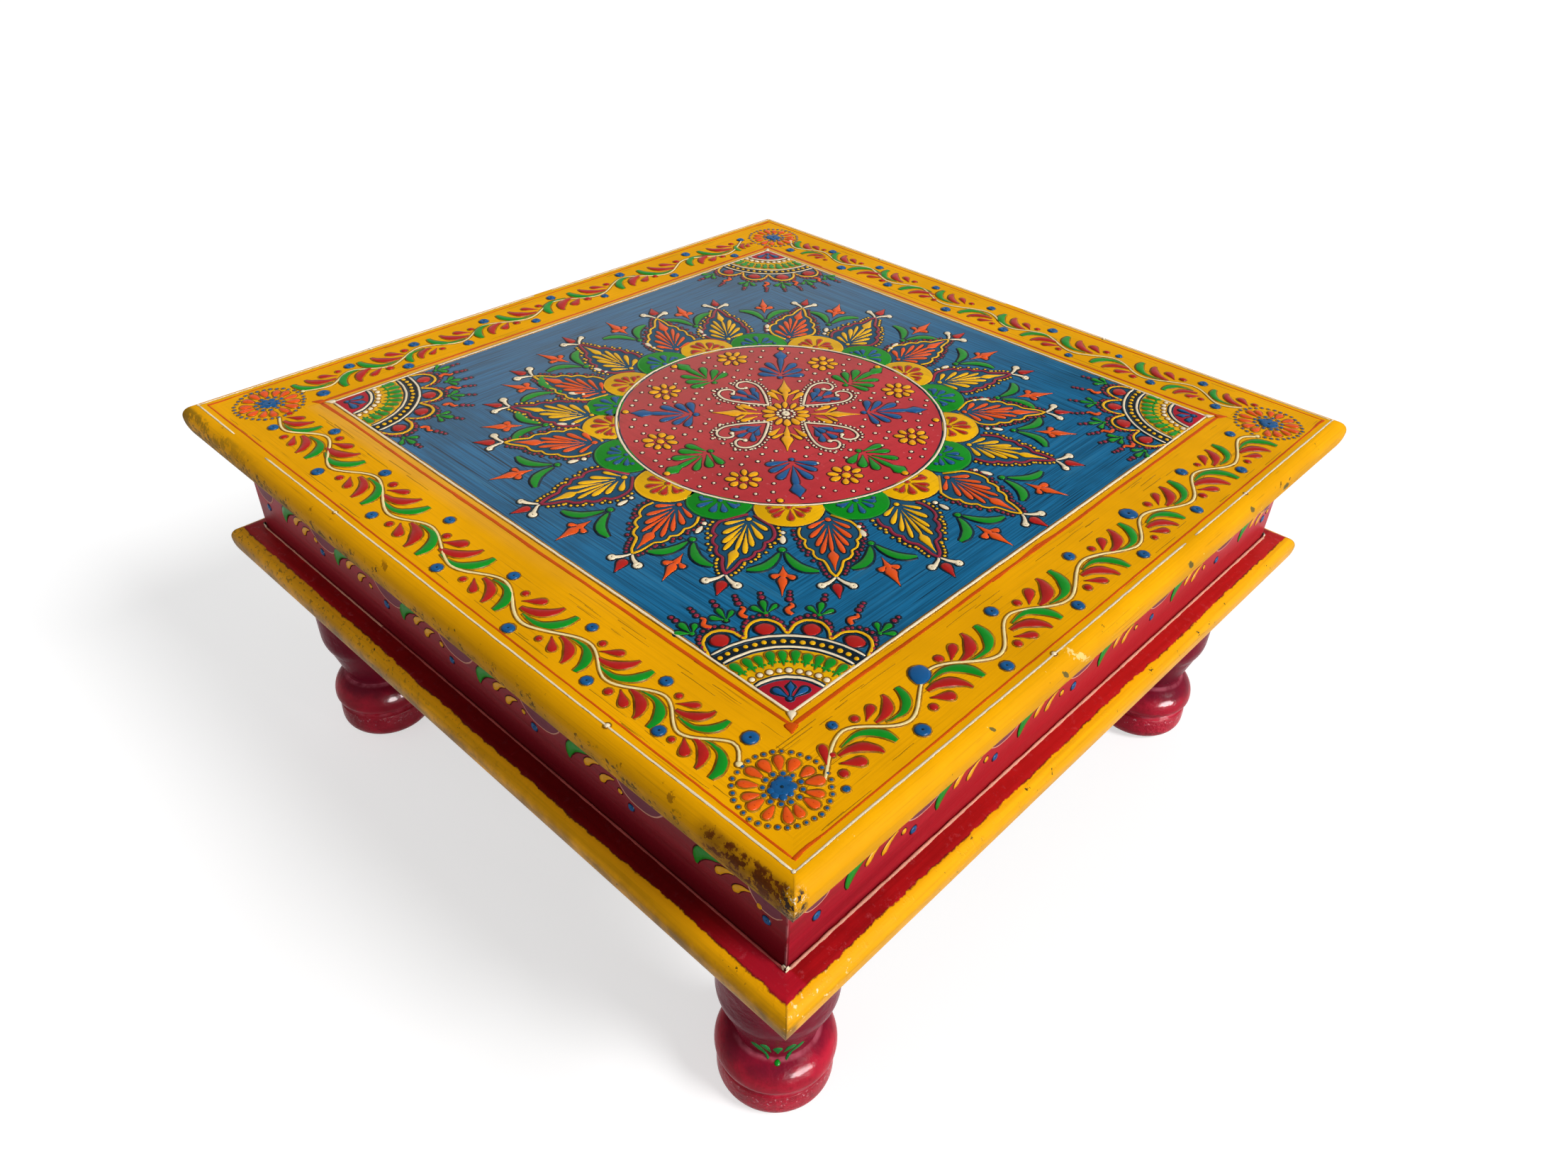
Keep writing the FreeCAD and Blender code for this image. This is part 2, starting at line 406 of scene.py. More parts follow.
def chip_at(place, middle, half, tall, ragged, lean=0.8):
    """One slanting chip on the right nose, with a ragged edge."""
    away = moved(place, (0.15, *middle), "SUBTRACT")
    across, up = (
        add(place, "ShaderNodeVectorMath", {0: away, 1: way}, operation="DOT_PRODUCT").outputs["Value"]
        for way in ((0.0, 1.0 / half, lean / half), (0.0, 0.0, 1.0 / tall))
    )
    far = calc("SQRT", plus(times(across, across), times(up, up)))
    return ramp(plus(far, ragged), 1.05, 0.9)


# Chips on the right nose: how far along and how far below the face, and half their length and height
NOSE_CHIPS = (
    (-0.0776, 0.0024, 0.0006, 0.0009),
    (-0.0436, 0.0046, 0.0009, 0.0019),
    (0.0286, 0.0042, 0.0014, 0.0017),
    (0.0722, 0.0034, 0.0013, 0.0013),
    (0.1, 0.0061, 0.0022, 0.0016),
)
PANEL_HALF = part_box("top_panel")[1].x - 0.005
# How far from the middle the nose of the top begins, and where it has fully begun
NOSE = (0.1478, 0.1492)
NOSE_SCRATCH = (-0.0355, 0.0032, 0.0013, 0.0026)


def top_material(sizes, colours):
    """Yellow border and blue field, brushed along the sides and worn on the nose."""
    material, shader, place = new_material("painted_top")
    x, y, z, size = around(place)
    streaks = use("streaks", place, along=26.0, across=1900.0)
    broad = use("streaks", place, along=14.0, across=420.0)
    wobble = times(minus(noise(place, 160.0), 0.5), 0.0006)
    inside = times(
        calc("GREATER_THAN", plus(x, wobble), sizes.field_left), calc("LESS_THAN", plus(x, wobble), sizes.field_right),
        calc("GREATER_THAN", plus(y, wobble), sizes.field_front), calc("LESS_THAN", plus(y, wobble), sizes.field_back),
        calc("GREATER_THAN", z, TOP_FACE - MM)
    )
    yellow, blue = colours.yellow, colours.blue
    ochre = over(yellow, darker(yellow, 0.84), ramp(broad["Blotch"], 0.3, 0.7))
    ochre = over(ochre, darker(yellow, 0.8), ramp(streaks["Streak"], 0.45, 0.75))
    bunched = spots(place, 38.0, 3.0, 0.6, 0.48, 0.62)
    ochre = over(ochre, "7A4A10", streaks["Scratch"], bunched, 0.42)
    field = over(darker(blue, 0.58), blue, ramp(streaks["Streak"], 0.38, 0.62))
    field = over(field, "3C83A6", ramp(broad["Streak"], 0.5, 0.72), 0.4)
    field = over(field, "174259", ramp(broad["Blotch"], 0.48, 0.7), 0.45)
    field = over(field, "0A2232", streaks["Scratch"], 0.85)
    # Painted sheen: a pale veil over the left of the top, standing in for its reflection
    paint = with_sheen(place, over(ochre, field, inside), 0.21)
    # The nose is rubbed, darker olive along its lower edge at the front and badly worn near the front corner
    on_front = ramp(y, -0.1475, -0.1495)
    low = ramp(z, TOP_FACE - 0.0035, TOP_FACE - 0.0095)
    cloudy = spots(place, 70.0, 4.0, 0.65, 0.3, 0.62)
    paint = over(paint, "7A5A1C", low, on_front, cloudy, 0.8)
    # Painted shade on the front nose, growing towards the right
    paint = over(paint, darker(yellow, 0.45), ramp(x, -0.1, 0.06), on_front, 0.26)
    peppered = plus(times(low, 0.05), times(ramp(x, 0.06, -0.13), 0.045))
    speck = ramp(plus(noise(place, 390.0, 4.0, 0.7), peppered), 0.612, 0.64)
    lower_side = times(ramp(z, TOP_FACE - 0.0022, TOP_FACE - 0.005), on_front)
    paint = over(paint, "44360E", speck, lower_side, 0.85)
    paint = over(paint, "6E5850", ramp(z, TOP_FACE - 0.0102, TOP_FACE - 0.0116), on_front, 0.7)
    along_edge = times(ramp(x, 0.1185, 0.127), ramp(x, 0.1508, 0.1485))
    band = times(ramp(z, TOP_FACE - 0.0004, TOP_FACE - 0.0016), ramp(z, TOP_FACE - 0.0102, TOP_FACE - 0.0082))
    reach = times(along_edge, on_front, band)
    paint = over(paint, "8A5A0C", reach, spots(place, 120.0, 4.0, 0.6, 0.35, 0.6), 0.8)
    patchy = noise(place, 330.0, 6.0, 0.74)
    smear = ramp(plus(patchy, times(reach, 0.16)), 0.64, 0.67)
    umber = over("2C1006", "7C3E0C", noise(place, 700.0, 4.0, 0.7))
    paint = over(paint, umber, smear, reach)
    scuffed = use("chips", mirrored(place), scale=210.0, amount=0.53)
    upper = times(ramp(z, TOP_FACE - 0.0003, TOP_FACE - 0.001), on_front)
    paint = over(paint, "7E4E0A", scuffed[0], upper, 0.7)
    grimy = spots(place, 190.0, 5.0, 0.7, 0.44, 0.56)
    paint = over(paint, "6A5410", ramp(x, -0.085, -0.14), upper, grimy, 0.7)
    chips = use("chips", place, scale=300.0, amount=0.36)
    on_nose = ramp(size, *NOSE)
    paint = over(paint, "2E2A18", chips[0], on_nose)
    # Painted glints: pale specks on the right nose
    bright = use("chips", mirrored(place), scale=420.0, amount=0.34)
    on_right = ramp(x, *NOSE)
    paint = over(paint, "FBDF8E", bright[0], on_right)
    ragged = times(minus(noise(place, 900.0, 4.0, 0.7), 0.5), 1.6)
    y0, low, half, tall = NOSE_SCRATCH
    scratch = chip_at(place, (y0, TOP_FACE - low), half, tall, times(ragged, 4.5), 1.3)
    paint = over(paint, "FCE49A", scratch, on_right, 0.6)
    for y0, low, half, tall in NOSE_CHIPS:
        chip = chip_at(place, (y0, TOP_FACE - low), half, tall, ragged)
        paint = over(paint, "3C4A30", chip, on_right, 0.85)
    paint = over(paint, "7A5010", mitre_mask(x, y, 0.0005), on_nose, 0.25)
    corner = times(
        ramp(x, 0.1472, 0.1494), ramp(y, -0.1472, -0.1494), ramp(z, TOP_FACE - 0.0006, TOP_FACE - 0.0022)
    )
    rubbed = noise(place, 620.0, 5.0, 0.7)
    paint = over(paint, "8C7C70", corner, ramp(z, TOP_FACE - 0.006, TOP_FACE - 0.009), 0.6)
    paint = over(paint, "3A2A24", corner, ramp(rubbed, 0.52, 0.56))
    paint = over(paint, "E8D8B4", corner, ramp(rubbed, 0.42, 0.39))
    # Underneath the wood is bare, with a little paint run over from the nose
    under = times(ramp(z, TOP_UNDERSIDE + 0.0006, TOP_UNDERSIDE + 0.0001), ramp(size, 0.147, 0.1445))
    inner = times(calc("LESS_THAN", z, TOP_FACE - 0.003), calc("LESS_THAN", size, 0.14))
    ways = {0: calc("LESS_THAN", size, PANEL_HALF), 4: place, 5: one_way(place)}
    way = add(shader, "ShaderNodeMix", ways, data_type="VECTOR").outputs[1]
    paint = over(paint, bare_wood(way, colours.wood)[0], calc("MAXIMUM", under, inner))
    height = plus(streaks["Streak"], times(noise(place, 300.0), 0.6))
    finish_shader(shader, paint, spread(streaks["Blotch"], 0.42, 0.6), height, 0.3, Specular_IOR_Level=0.02)
    return material


def apron_material(colours):
    """Crimson enamel outside, mauve over its upper part, with painted light and shade, and bare wood inside."""
    material, shader, place = new_material("apron_enamel")
    x, y, z, size = around(place)
    streaks = use("streaks", place, along=16.0, across=500.0)
    red = colours.enamel
    paint = over(darker(red, 0.72), red, ramp(streaks["Streak"], 0.3, 0.7))
    mauve_upper = times(ramp(z, APRON_FOOT + 0.014, TOP_UNDERSIDE - 0.006), ramp(streaks["Blotch"], 0.25, 0.6))
    paint = over(paint, colours.mauve, mauve_upper, 0.22)
    # Painted shade in the crease at the foot, and over the front apron growing towards the right
    paint = over(paint, darker(red, 0.3), ramp(z, APRON_FOOT + 0.003, APRON_FOOT), 0.5)
    along = plus(times(ramp(x, -0.11, 0.03), 0.4), 0.42)
    in_front = calc("LESS_THAN", y, 0.001 - APRON_HALF)
    paint = over(paint, darker(red, 0.3), minus(along, 0.42), in_front)
    # Painted light: a lighter red on the right apron
    on_right = ramp(x, APRON_HALF - 0.001, APRON_HALF)
    paint = over(paint, "C8242A", on_right, ramp(y, -0.15, -0.02), 0.5)
    pale = times(ramp(y, 0.07, 0.138), ramp(z, APRON_FOOT + 0.006, APRON_FOOT + 0.026), on_right)
    paint = over(paint, "C88CA4", pale, 0.4)
    # Painted shade towards the foot, strongest at the front
    shaded = plus(times(in_front, along), 0.12)
    paint = over(paint, darker(red, 0.3), ramp(z, APRON_FOOT + 0.018, APRON_FOOT + 0.002), shaded)
    edge = ramp(calc("MINIMUM", size_of(x), size_of(y)), APRON_HALF - 0.0007, APRON_HALF - 0.0002)
    paint = over(paint, "B87A7C", edge, spots(place, 300.0, 3.0, 0.6, 0.35, 0.55), 0.42)
    inside = ramp(size, APRON_HALF - 0.0006, APRON_HALF - 0.0012)
    paint = over(paint, bare_wood(place, colours.wood)[0], inside)
    height = plus(streaks["Streak"], noise(place, 240.0))
    finish_shader(shader, paint, spread(streaks["Streak"], 0.28, 0.44), height, 0.35, Specular_IOR_Level=0.06)
    return material


def base_material(colours):
    """Red ledge and underside with a yellow nose, cut in by hand."""
    material, shader, place = new_material("base_enamel")
    x, y, z, size = around(place)
    streaks = use("streaks", place, along=16.0, across=600.0)
    red = colours.ledge_enamel
    yellow = colours.yellow
    crimson = over(darker(red, 0.7), red, ramp(streaks["Streak"], 0.3, 0.7))
    crimson = over(crimson, darker(red, 0.45), spots(place, 50.0, 4.0, 0.6, 0.42, 0.66), 0.4)
    pale_specks = spots(place, 420.0, 4.0, 0.7, 0.55, 0.7)
    crimson = over(crimson, "C8606A", pale_specks, 0.3)
    ochre = over(yellow, darker(yellow, 0.8), ramp(streaks["Streak"], 0.4, 0.72))
    ragged = times(minus(noise(place, 240.0, 4.0, 0.7), 0.5), 0.0022)
    slow = times(minus(noise(place, 28.0), 0.5), 0.0022)
    edge = plus(size, ragged, slow)
    nose = ramp(edge, BASE_HALF - 0.0039, BASE_HALF - 0.0035)
    dirt_and_shade = spots(place, 210.0, 4.0, 0.65, 0.3, 0.6)
    # Painted shade, with some dirt, in the corner at the apron's foot, and painted shade over the front ledge
    crimson = over(crimson, darker(red, 0.3), ramp(size, APRON_HALF + 0.0045, APRON_HALF + 0.0005), dirt_and_shade, 0.55)
    dim = times(ramp(x, -0.11, 0.03), ramp(x, 0.132, 0.104), ramp(y, 0.002 - APRON_HALF, -APRON_HALF))
    crimson = over(crimson, darker(red, 0.22), dim, 0.75)
    # Painted light: a lighter red at the right end of the front ledge and on the right ledge
    crimson = over(crimson, "C81E38", ramp(x, 0.114, 0.136), ramp(y, 0.001 - APRON_HALF, -APRON_HALF), 0.4)
    crimson = over(crimson, "CE2420", ramp(x, APRON_HALF, APRON_HALF + 0.001), ramp(y, -0.14, 0.0), 0.5)
    # Painted shade on the lower part of the nose, strongest at the front
    low = ramp(z, BASE_TOP - 0.0005, BASE_TOP - 0.007)
    cloudy = spots(place, 70.0, 4.0, 0.65, 0.3, 0.65)
    shaded = plus(times(ramp(y, -0.145, -0.1475), 0.75), 0.15)
    ochre = over(ochre, "6C4C0A", low, cloudy, shaded)
    peppered = spots(place, 520.0, 4.0, 0.7, 0.575, 0.61)
    ochre = over(ochre, "4C3C10", peppered, ramp(y, -0.1455, -0.147), ramp(x, 0.08, -0.1), 0.65)
    paint = over(crimson, ochre, nose)
    ridge = ramp(size_of(minus(edge, BASE_HALF - 0.0038)), 0.00045, 0.0001)
    paint = over(paint, "4A0C0C", ridge, spots(place, 150.0, 3.0, 0.6, 0.36, 0.6), 0.7)
    # Painted glints: pale specks on the right nose near the front corner
    bright = use("chips", mirrored(place), scale=460.0, amount=0.53)
    near_front = times(ramp(x, 0.146, 0.148), ramp(y, -0.118, -0.13))
    paint = over(paint, "FCE0A4", bright[0], near_front, nose, 0.85)
    paint = over(paint, "6A4A0A", mitre_mask(x, y, 0.0006), nose, 0.45)
    chips = use("chips", place, scale=380.0, amount=0.44)
    paint = over(paint, "3A3010", chips[0], ramp(size, 0.1468, 0.1478))
    under = ramp(z, BASE_UNDERSIDE + 0.0008, BASE_UNDERSIDE + 0.0001)
    bare = calc("MAXIMUM", times(under, ramp(edge, 0.1375, 0.134)),
                ramp(size, APRON_HALF - 0.004, APRON_HALF - 0.006))
    paint = over(paint, bare_wood(place, colours.wood)[0], bare)
    height = plus(streaks["Streak"], times(pale_specks, 0.5))
    finish_shader(shader, paint, spread(streaks["Blotch"], 0.3, 0.46), height, 0.4, Specular_IOR_Level=0.04)
    return material


# Rubbed edges of the turning: their height and how far the wear reaches
LEG_EDGES = ((0.0264, 0.0009), (0.0132, 0.0011), (0.0663, 0.0022))


def leg_material(colours):
    """Glossy crimson enamel on turned wood, with faint turning marks and rubbed edges."""
    material, shader, place = new_material("leg_enamel")
    z = around(place)[2]
    red = colours.leg_enamel
    blotch = noise(place, 60.0, 4.0, 0.6)
    paint = over(red, darker(red, 0.62), ramp(blotch, 0.35, 0.7))
    fleck = times(minus(blotch, 0.5), 0.012)
    paint = over(paint, "5C1228", ramp(plus(z, fleck), 0.0205, 0.0255), 0.72)
    paint = over(paint, darker(red, 0.4), spots(place, 340.0, 5.0, 0.7, 0.56, 0.66), 0.35)
    turning = noise(add(shader, "ShaderNodeCombineXYZ", {0: z}), 900.0, 2.0, 0.5)
    patch = spots(place, 130.0, 3.0, 0.6, 0.35, 0.65)
    for height, reach in LEG_EDGES:
        near = ramp(size_of(minus(z, height)), reach, reach * 0.3)
        paint = over(paint, "D8788A", near, patch, 0.42)
    on_disc = ramp(z, 0.0125, 0.0115)
    # Painted glints: pale pink specks on the foot disc, standing in for the sparkle of its rough paint
    pale_specks = times(spots(place, 760.0, 4.0, 0.7, 0.6, 0.64), on_disc, ramp(z, 0.007, 0.009))
    paint = over(paint, "E2A0AE", pale_specks, 0.6)
    paint = over(paint, bare_wood(one_way(place), colours.wood)[0], ramp(z, 0.0016, 0.0006))
    lumps = noise(place, 260.0, 4.0, 0.65)
    ring = times(on_disc, noise(place, 640.0, 3.0, 0.6))
    height = plus(times(turning, 0.4), times(lumps, 1.6), times(ring, 3.0))
    coat = times(ramp(z, 0.026, 0.021), 0.12)
    finish_shader(shader, paint, spread(blotch, 0.16, 0.32), height, 0.45, 0.0006, Specular_IOR_Level=0.03,
                  Coat_Weight=coat, Coat_Roughness=0.12)
    return material


def wood_material(colours):
    """Bare wood of the cleats and corner blocks."""
    material, shader, place = new_material("bare_wood")
    wood, grain = bare_wood(place, colours.wood)
    wood = over(wood, "6A3E22", spots(place, 26.0, 3.0, 0.6, 0.4, 0.75), 0.35)
    finish_shader(shader, wood, spread(grain, 0.55, 0.8), grain, 0.5)
    return material


def screw_material():
    """Zinc-plated steel, a little dull."""
    material, shader, place = new_material("screw_steel")
    dull = noise(place, 400.0, 4.0, 0.6)
    finish_shader(shader, over("8C8C86", "C8C8C2", dull), spread(dull, 0.25, 0.5), dull, 0.2, Metallic=1.0)
    return material


def kept(place, name):
    """The value that a mesh keeps at its points."""
    return add(place, "ShaderNodeAttribute", attribute_name=name).outputs["Fac"]


def relief_material(name, colour, wash):
    """Raised cone paint: glossy on its crest, with dark wash at its foot and a slight change from stroke to stroke."""
    material, shader, place = new_material("cone_paint_" + name)
    foot = use("foot", place, rise=kept(place, "rise"), reach=0.1)
    body = over(darker(colour, 0.86), colour, kept(place, "tint"))
    mottled = spots(place, 520.0, 3.0, 0.6, 0.4, 0.75)
    body = over(body, darker(colour, 0.7), mottled, 0.35)
    # Painted sheen: a little of the pale veil on the left of the top
    paint = with_sheen(place, over(body, wash, foot[0], 0.85), 0.06)
    rough = spread(mottled, 0.3, 0.42)
    finish_shader(shader, paint, rough, noise(place, 900.0), 0.25, 0.0002, Specular_IOR_Level=0.08)
    return material


def wash_material(name, deep, thin, ground):
    """Dark wash left in the corner between a stroke and the ground, which it fades into at its rim."""
    material, shader, place = new_material("wash_" + name)
    thick = spots(place, 330.0, 3.0, 0.6, 0.4, 0.62)
    paint = over(ground, over(deep, thin, thick), ramp(kept(place, "rise"), 0.001, 0.024))
    # Painted sheen: a little of the pale veil on the left of the top
    paint = with_sheen(place, paint, 0.14)
    rough = spread(thick, 0.45, 0.6)
    finish_shader(shader, paint, rough, noise(place, 800.0), 0.2, 0.0001, Specular_IOR_Level=0.05)
    return material


def flat_material(name, colour, spot):
    """A brushed flat coat, with streaks and darker spots."""
    material, shader, place = new_material("flat_paint_" + name)
    streaks = use("streaks", place, along=40.0, across=1300.0)
    paint = over(colour, darker(colour, 0.8), ramp(streaks["Blotch"], 0.35, 0.7))
    paint = over(paint, darker(colour, 0.72), ramp(streaks["Streak"], 0.5, 0.8))
    paint = over(paint, darker(colour, 0.5), spots(place, 75.0, 5.0, 0.7, 0.48, 0.72), 0.4)
    paint = over(paint, spot, spots(place, 420.0, 4.0, 0.65, 0.64, 0.72), 0.5)
    # Painted sheen: the pale veil on the left of the top, strongest on the disc
    paint = with_sheen(place, paint, 0.21 if name == "disc" else 0.05)
    rough = spread(streaks["Streak"], 0.36, 0.5)
    finish_shader(shader, paint, rough, streaks["Streak"], 0.25, 0.0002, Specular_IOR_Level=0.03)
    return material


MATERIALS = {}


def material_of(paint):
    """The material of a paint, made when it is first asked for."""
    if paint not in MATERIALS:
        colours = bpy.context.scene.bajot_colours
        kind, _, name = paint.partition(" ")
        if kind == "wash":
            MATERIALS[paint] = wash_material(name, *WASHES[paint][1:])
        elif kind == "flat":
            MATERIALS[paint] = flat_material(name, *(linear(getattr(colours, code, code)) for code in FLATS[name]))
        else:
            MATERIALS[paint] = relief_material(paint, getattr(colours, paint), "2A1A14")
    return MATERIALS[paint]


# The dark wash on each ground: how wide it is, deep, thin and the ground that it fades into
WASHES = {
    "wash on_blue": (1.75, "08121A", "0E2A38", "1A6088"),
    "wash on_disc": (1.3, "2A080E", "5C141E", "BC343A"),
    "wash on_yellow": (1.3, "84580A", "B07A08", "EAA404"),
    "wash on_green": (0.8, "06301A", "085A22", "0A841C"),
    "wash on_enamel": (0.8, "2A060C", "5A0A16", "9C1426"),
}

# Flat coats: their colour, by code or by its name in the sidebar, and the colour of their worn spots
FLATS = {
    "ground": ("1A4E6C", "0E2A3C"),
    "stain": ("B07C08", "8C5E08"),
    "rose": ("E2A28A", "B45A4C"),
    "dusk": ("B45650", "8A3A36"),
    "ember": ("D2400E", "B03208"),
    "faded": ("1E8A40", "7C4A44"),
    "disc": ("red", "D8848C"),
    "green": ("green", "06501C"),
    "yellow": ("lemon", "A87008"),
    "black": ("141E26", "1E4A66"),
    "sector": ("B81E2E", "7A1424"),
    "mauve": ("844452", "6A2C3A"),
    "orange": ("D4540C", "C4700A"),
}

# Cone paint on a flat sheet, drawn in millimetres

# Each stamp shape as stations along its length with its half width there, as shares
STATIONS = {
    "drop": ((0, 0.14), (0.18, 0.32), (0.38, 0.6), (0.56, 0.86), (0.7, 0.99), (0.82, 0.98), (0.91, 0.82),
             (0.97, 0.55), (1, 0.26)),
    "petal": ((0, 0.24), (0.08, 0.46), (0.22, 0.74), (0.4, 0.95), (0.6, 1.0), (0.78, 0.9), (0.9, 0.66),
              (0.97, 0.4), (1, 0.2)),
    "bulb": ((0, 0.26), (0.1, 0.42), (0.28, 0.66), (0.5, 0.92), (0.68, 1.0), (0.82, 0.93), (0.93, 0.68), (1, 0.32)),
    "head": ((0, 0.1), (0.12, 0.35), (0.24, 0.9), (0.36, 1.0), (0.56, 0.6), (0.78, 0.26), (1, 0.06)),
    "spear": ((0, 0.12), (0.3, 0.34), (0.5, 0.72), (0.62, 1.0), (0.74, 0.8), (0.88, 0.34), (1, 0.05)),
}
STAMP_FOOT = -0.06
STAMP_SHOULDER = 0.8
SHOULDER_SHARE = 0.66
# Round stamps: their sides, their rings by radius and height, and the height of the crest
ROUNDS = {
    "dot": (8, ((0.5, STAMP_FOOT), (0.37, 0.66)), 1.0),
    "halo": (10, ((0.5, STAMP_FOOT), (0.32, 0.9)), 1.0),
    "button": (16, ((0.5, STAMP_FOOT), (0.36, 0.9), (0.16, 0.8)), 0.25),
}
# A patch from its foot to its face: how far inwards and how high, and the share of its thickness
PATCH_RINGS = ((0.0, -0.12, 0.0), (0.08, 0.0, 0.7), (0.3, 0.0, 1.0))
# Height of a dot as a share of its radius, and its least and greatest height
DOT_HEIGHT = 0.42
DOT_HEIGHTS = (0.3, 0.6)
# The dark pit in a button, as shares of its width and height
PIT_SHARE = 0.26
PIT_HEIGHT = 0.72
# How far the hand slips: a dot by a share of its radius, the two ends of a drop by millimetres
DOT_SLIP = 0.16
START_SLIP = 0.2
END_SLIP = 0.32
BEAD_SHARE = 0.5
WASH_HEIGHT = 0.09
BEAD_SIDES = 8
WASH_SIDES = 6
# After so many points the width of a bead, and the drift of a long line, takes a new value
WAVE_STEPS = 6
DRIFT_STEPS = 7
LINE_PITCH = 3.2


def linked(name, data):
    """A new object of the scene."""
    made = bpy.data.objects.new(name, data)
    bpy.context.scene.collection.objects.link(made)
    return made


def plain_mesh(name, vertices, edges, faces):
    """A new mesh from plain lists."""
    mesh = bpy.data.meshes.new(name)
    mesh.from_pydata(vertices, edges, faces)
    return mesh


def keep(mesh, name, values, kind="FLOAT", key="value"):
    """Keeps a value at every point of a mesh."""
    mesh.attributes.new(name, kind, "POINT").data.foreach_set(key, values)


def quads(rows, columns, closed=False):
    """Faces between rows of points; closed rows go round."""
    faces = []
    for row in range(rows - 1):
        a, b = row * columns, (row + 1) * columns
        for k in range(columns if closed else columns - 1):
            after = (k + 1) % columns
            faces.append((a + k, a + after, b + after, b + k))
    return faces


def shape_mesh(kind):
    """One stamp of cone paint, one unit long, wide and high, with its thin end at the origin."""
    vertices = []
    if kind in STATIONS:
        for along, half in STATIONS[kind]:
            crest = min(1.0, 0.4 + 0.6 * half)
            for side, z in ((1, STAMP_FOOT), (SHOULDER_SHARE, STAMP_SHOULDER * crest), (0, crest),
                            (-SHOULDER_SHARE, STAMP_SHOULDER * crest), (-1, STAMP_FOOT)):
                vertices.append((along, side * half / 2, z))
        rows = range(len(STATIONS[kind]))
        faces = quads(len(rows), 5)
        faces += [(4, 3, 2, 1, 0), tuple(rows[-1] * 5 + k for k in range(5))]
        faces.append((*(row * 5 for row in rows), *(row * 5 + 4 for row in rows[::-1])))
    else:
        sides, rings, crest = ROUNDS[kind]
        for radius, z in rings:
            for k in range(sides):
                turn = 2 * math.pi * k / sides
                vertices.append((radius * math.cos(turn), radius * math.sin(turn), z))
        vertices.append((0, 0, crest))
        upper = (len(rings) - 1) * sides
        faces = quads(len(rings), sides, closed=True)
        faces += [(upper + k, upper + (k + 1) % sides, len(vertices) - 1) for k in range(sides)]
        faces.append(tuple(range(sides - 1, -1, -1)))
    mesh = plain_mesh("stamp_" + kind, vertices, [], faces)
    mesh.shade_smooth()
    return mesh


# What both trees are given
PAINTED = (("Geometry", "Geometry", None), ("Paint", "Material", None))


def own(tree, name, kind="FLOAT"):
    """The value that a guide keeps at its points."""
    return add(tree, "GeometryNodeInputNamedAttribute", {"Name": name}, data_type=kind)


def end_tree(shapes, given, result):
    """Makes the shapes real, gives them their paint and puts them out."""
    real = add(result, "GeometryNodeRealizeInstances", {0: shapes})
    feed(result, 0, add(result, "GeometryNodeSetMaterial", {"Geometry": real, "Material": given["Paint"]}))


def stamp_tree():
    """Sets a stamp on every guide point, turned and sized by the point's own values."""
    tree, given, result = new_group(
        "Cone paint stamps",
        [*PAINTED, ("Shape", "Object", None), ("Size", "Float", 1.0)], [("Geometry", "Geometry")], "GeometryNodeTree"
    )
    shape = add(tree, "GeometryNodeObjectInfo", {"Object": given["Shape"]}).outputs["Geometry"]
    sizes = {0: own(tree, "size", "FLOAT_VECTOR"), "Scale": given["Size"]}
    scaled = add(tree, "ShaderNodeVectorMath", sizes, operation="SCALE")
    turned = add(tree, "ShaderNodeCombineXYZ", {2: own(tree, "turn")})
    stamps = {"Points": given["Geometry"], "Instance": shape, "Rotation": turned, "Scale": scaled}
    end_tree(add(tree, "GeometryNodeInstanceOnPoints", stamps), given, result)
    return tree


def bead_tree():
    """Draws a half-round bead of paint along every guide line, as wide as the line's own values say."""
    tree, given, result = new_group(
        "Cone paint beads",
        [*PAINTED, ("Height share", "Float", 0.5), ("Sides", "Int", BEAD_SIDES)], [("Geometry", "Geometry")],
        "GeometryNodeTree"
    )
    line = add(tree, "GeometryNodeMeshToCurve", {0: given["Geometry"]})
    upright = add(tree, "GeometryNodeSetCurveNormal", {0: line}, mode="Z_UP")
    ring = add(tree, "GeometryNodeCurvePrimitiveCircle", {"Resolution": given["Sides"], "Radius": 1.0})
    flat = add(tree, "ShaderNodeCombineXYZ", {0: 1.0, 1: given["Height share"], 2: 1.0})
    profile = add(tree, "GeometryNodeTransform", {"Geometry": ring, "Scale": flat})
    bead = {"Curve": upright, "Profile Curve": profile, "Scale": own(tree, "half_width"), "Fill Caps": True}
    end_tree(add(tree, "GeometryNodeCurveToMesh", bead), given, result)
    return tree


TREES = {}


def grown(kind, guide_mesh, **values):
    """Runs one of the trees over a guide mesh and returns the plain mesh that it makes."""
    if kind not in TREES:
        TREES[kind] = {"stamps": stamp_tree, "beads": bead_tree}[kind]()
    guide = linked("guide", guide_mesh)
    step = guide.modifiers.new("paint", "NODES")
    step.node_group = TREES[kind]
    wanted = {key.replace("_", " ").capitalize(): value for key, value in values.items()}
    for socket in TREES[kind].interface.items_tree:
        if socket.in_out == "INPUT" and socket.name in wanted:
            step[socket.identifier] = wanted[socket.name]
    bpy.context.view_layer.update()
    graph = bpy.context.evaluated_depsgraph_get()
    mesh = bpy.data.meshes.new_from_object(guide.evaluated_get(graph), depsgraph=graph)
    guide.modifiers.remove(step)
    bpy.data.objects.remove(guide)
    bpy.data.meshes.remove(guide_mesh)
    return mesh


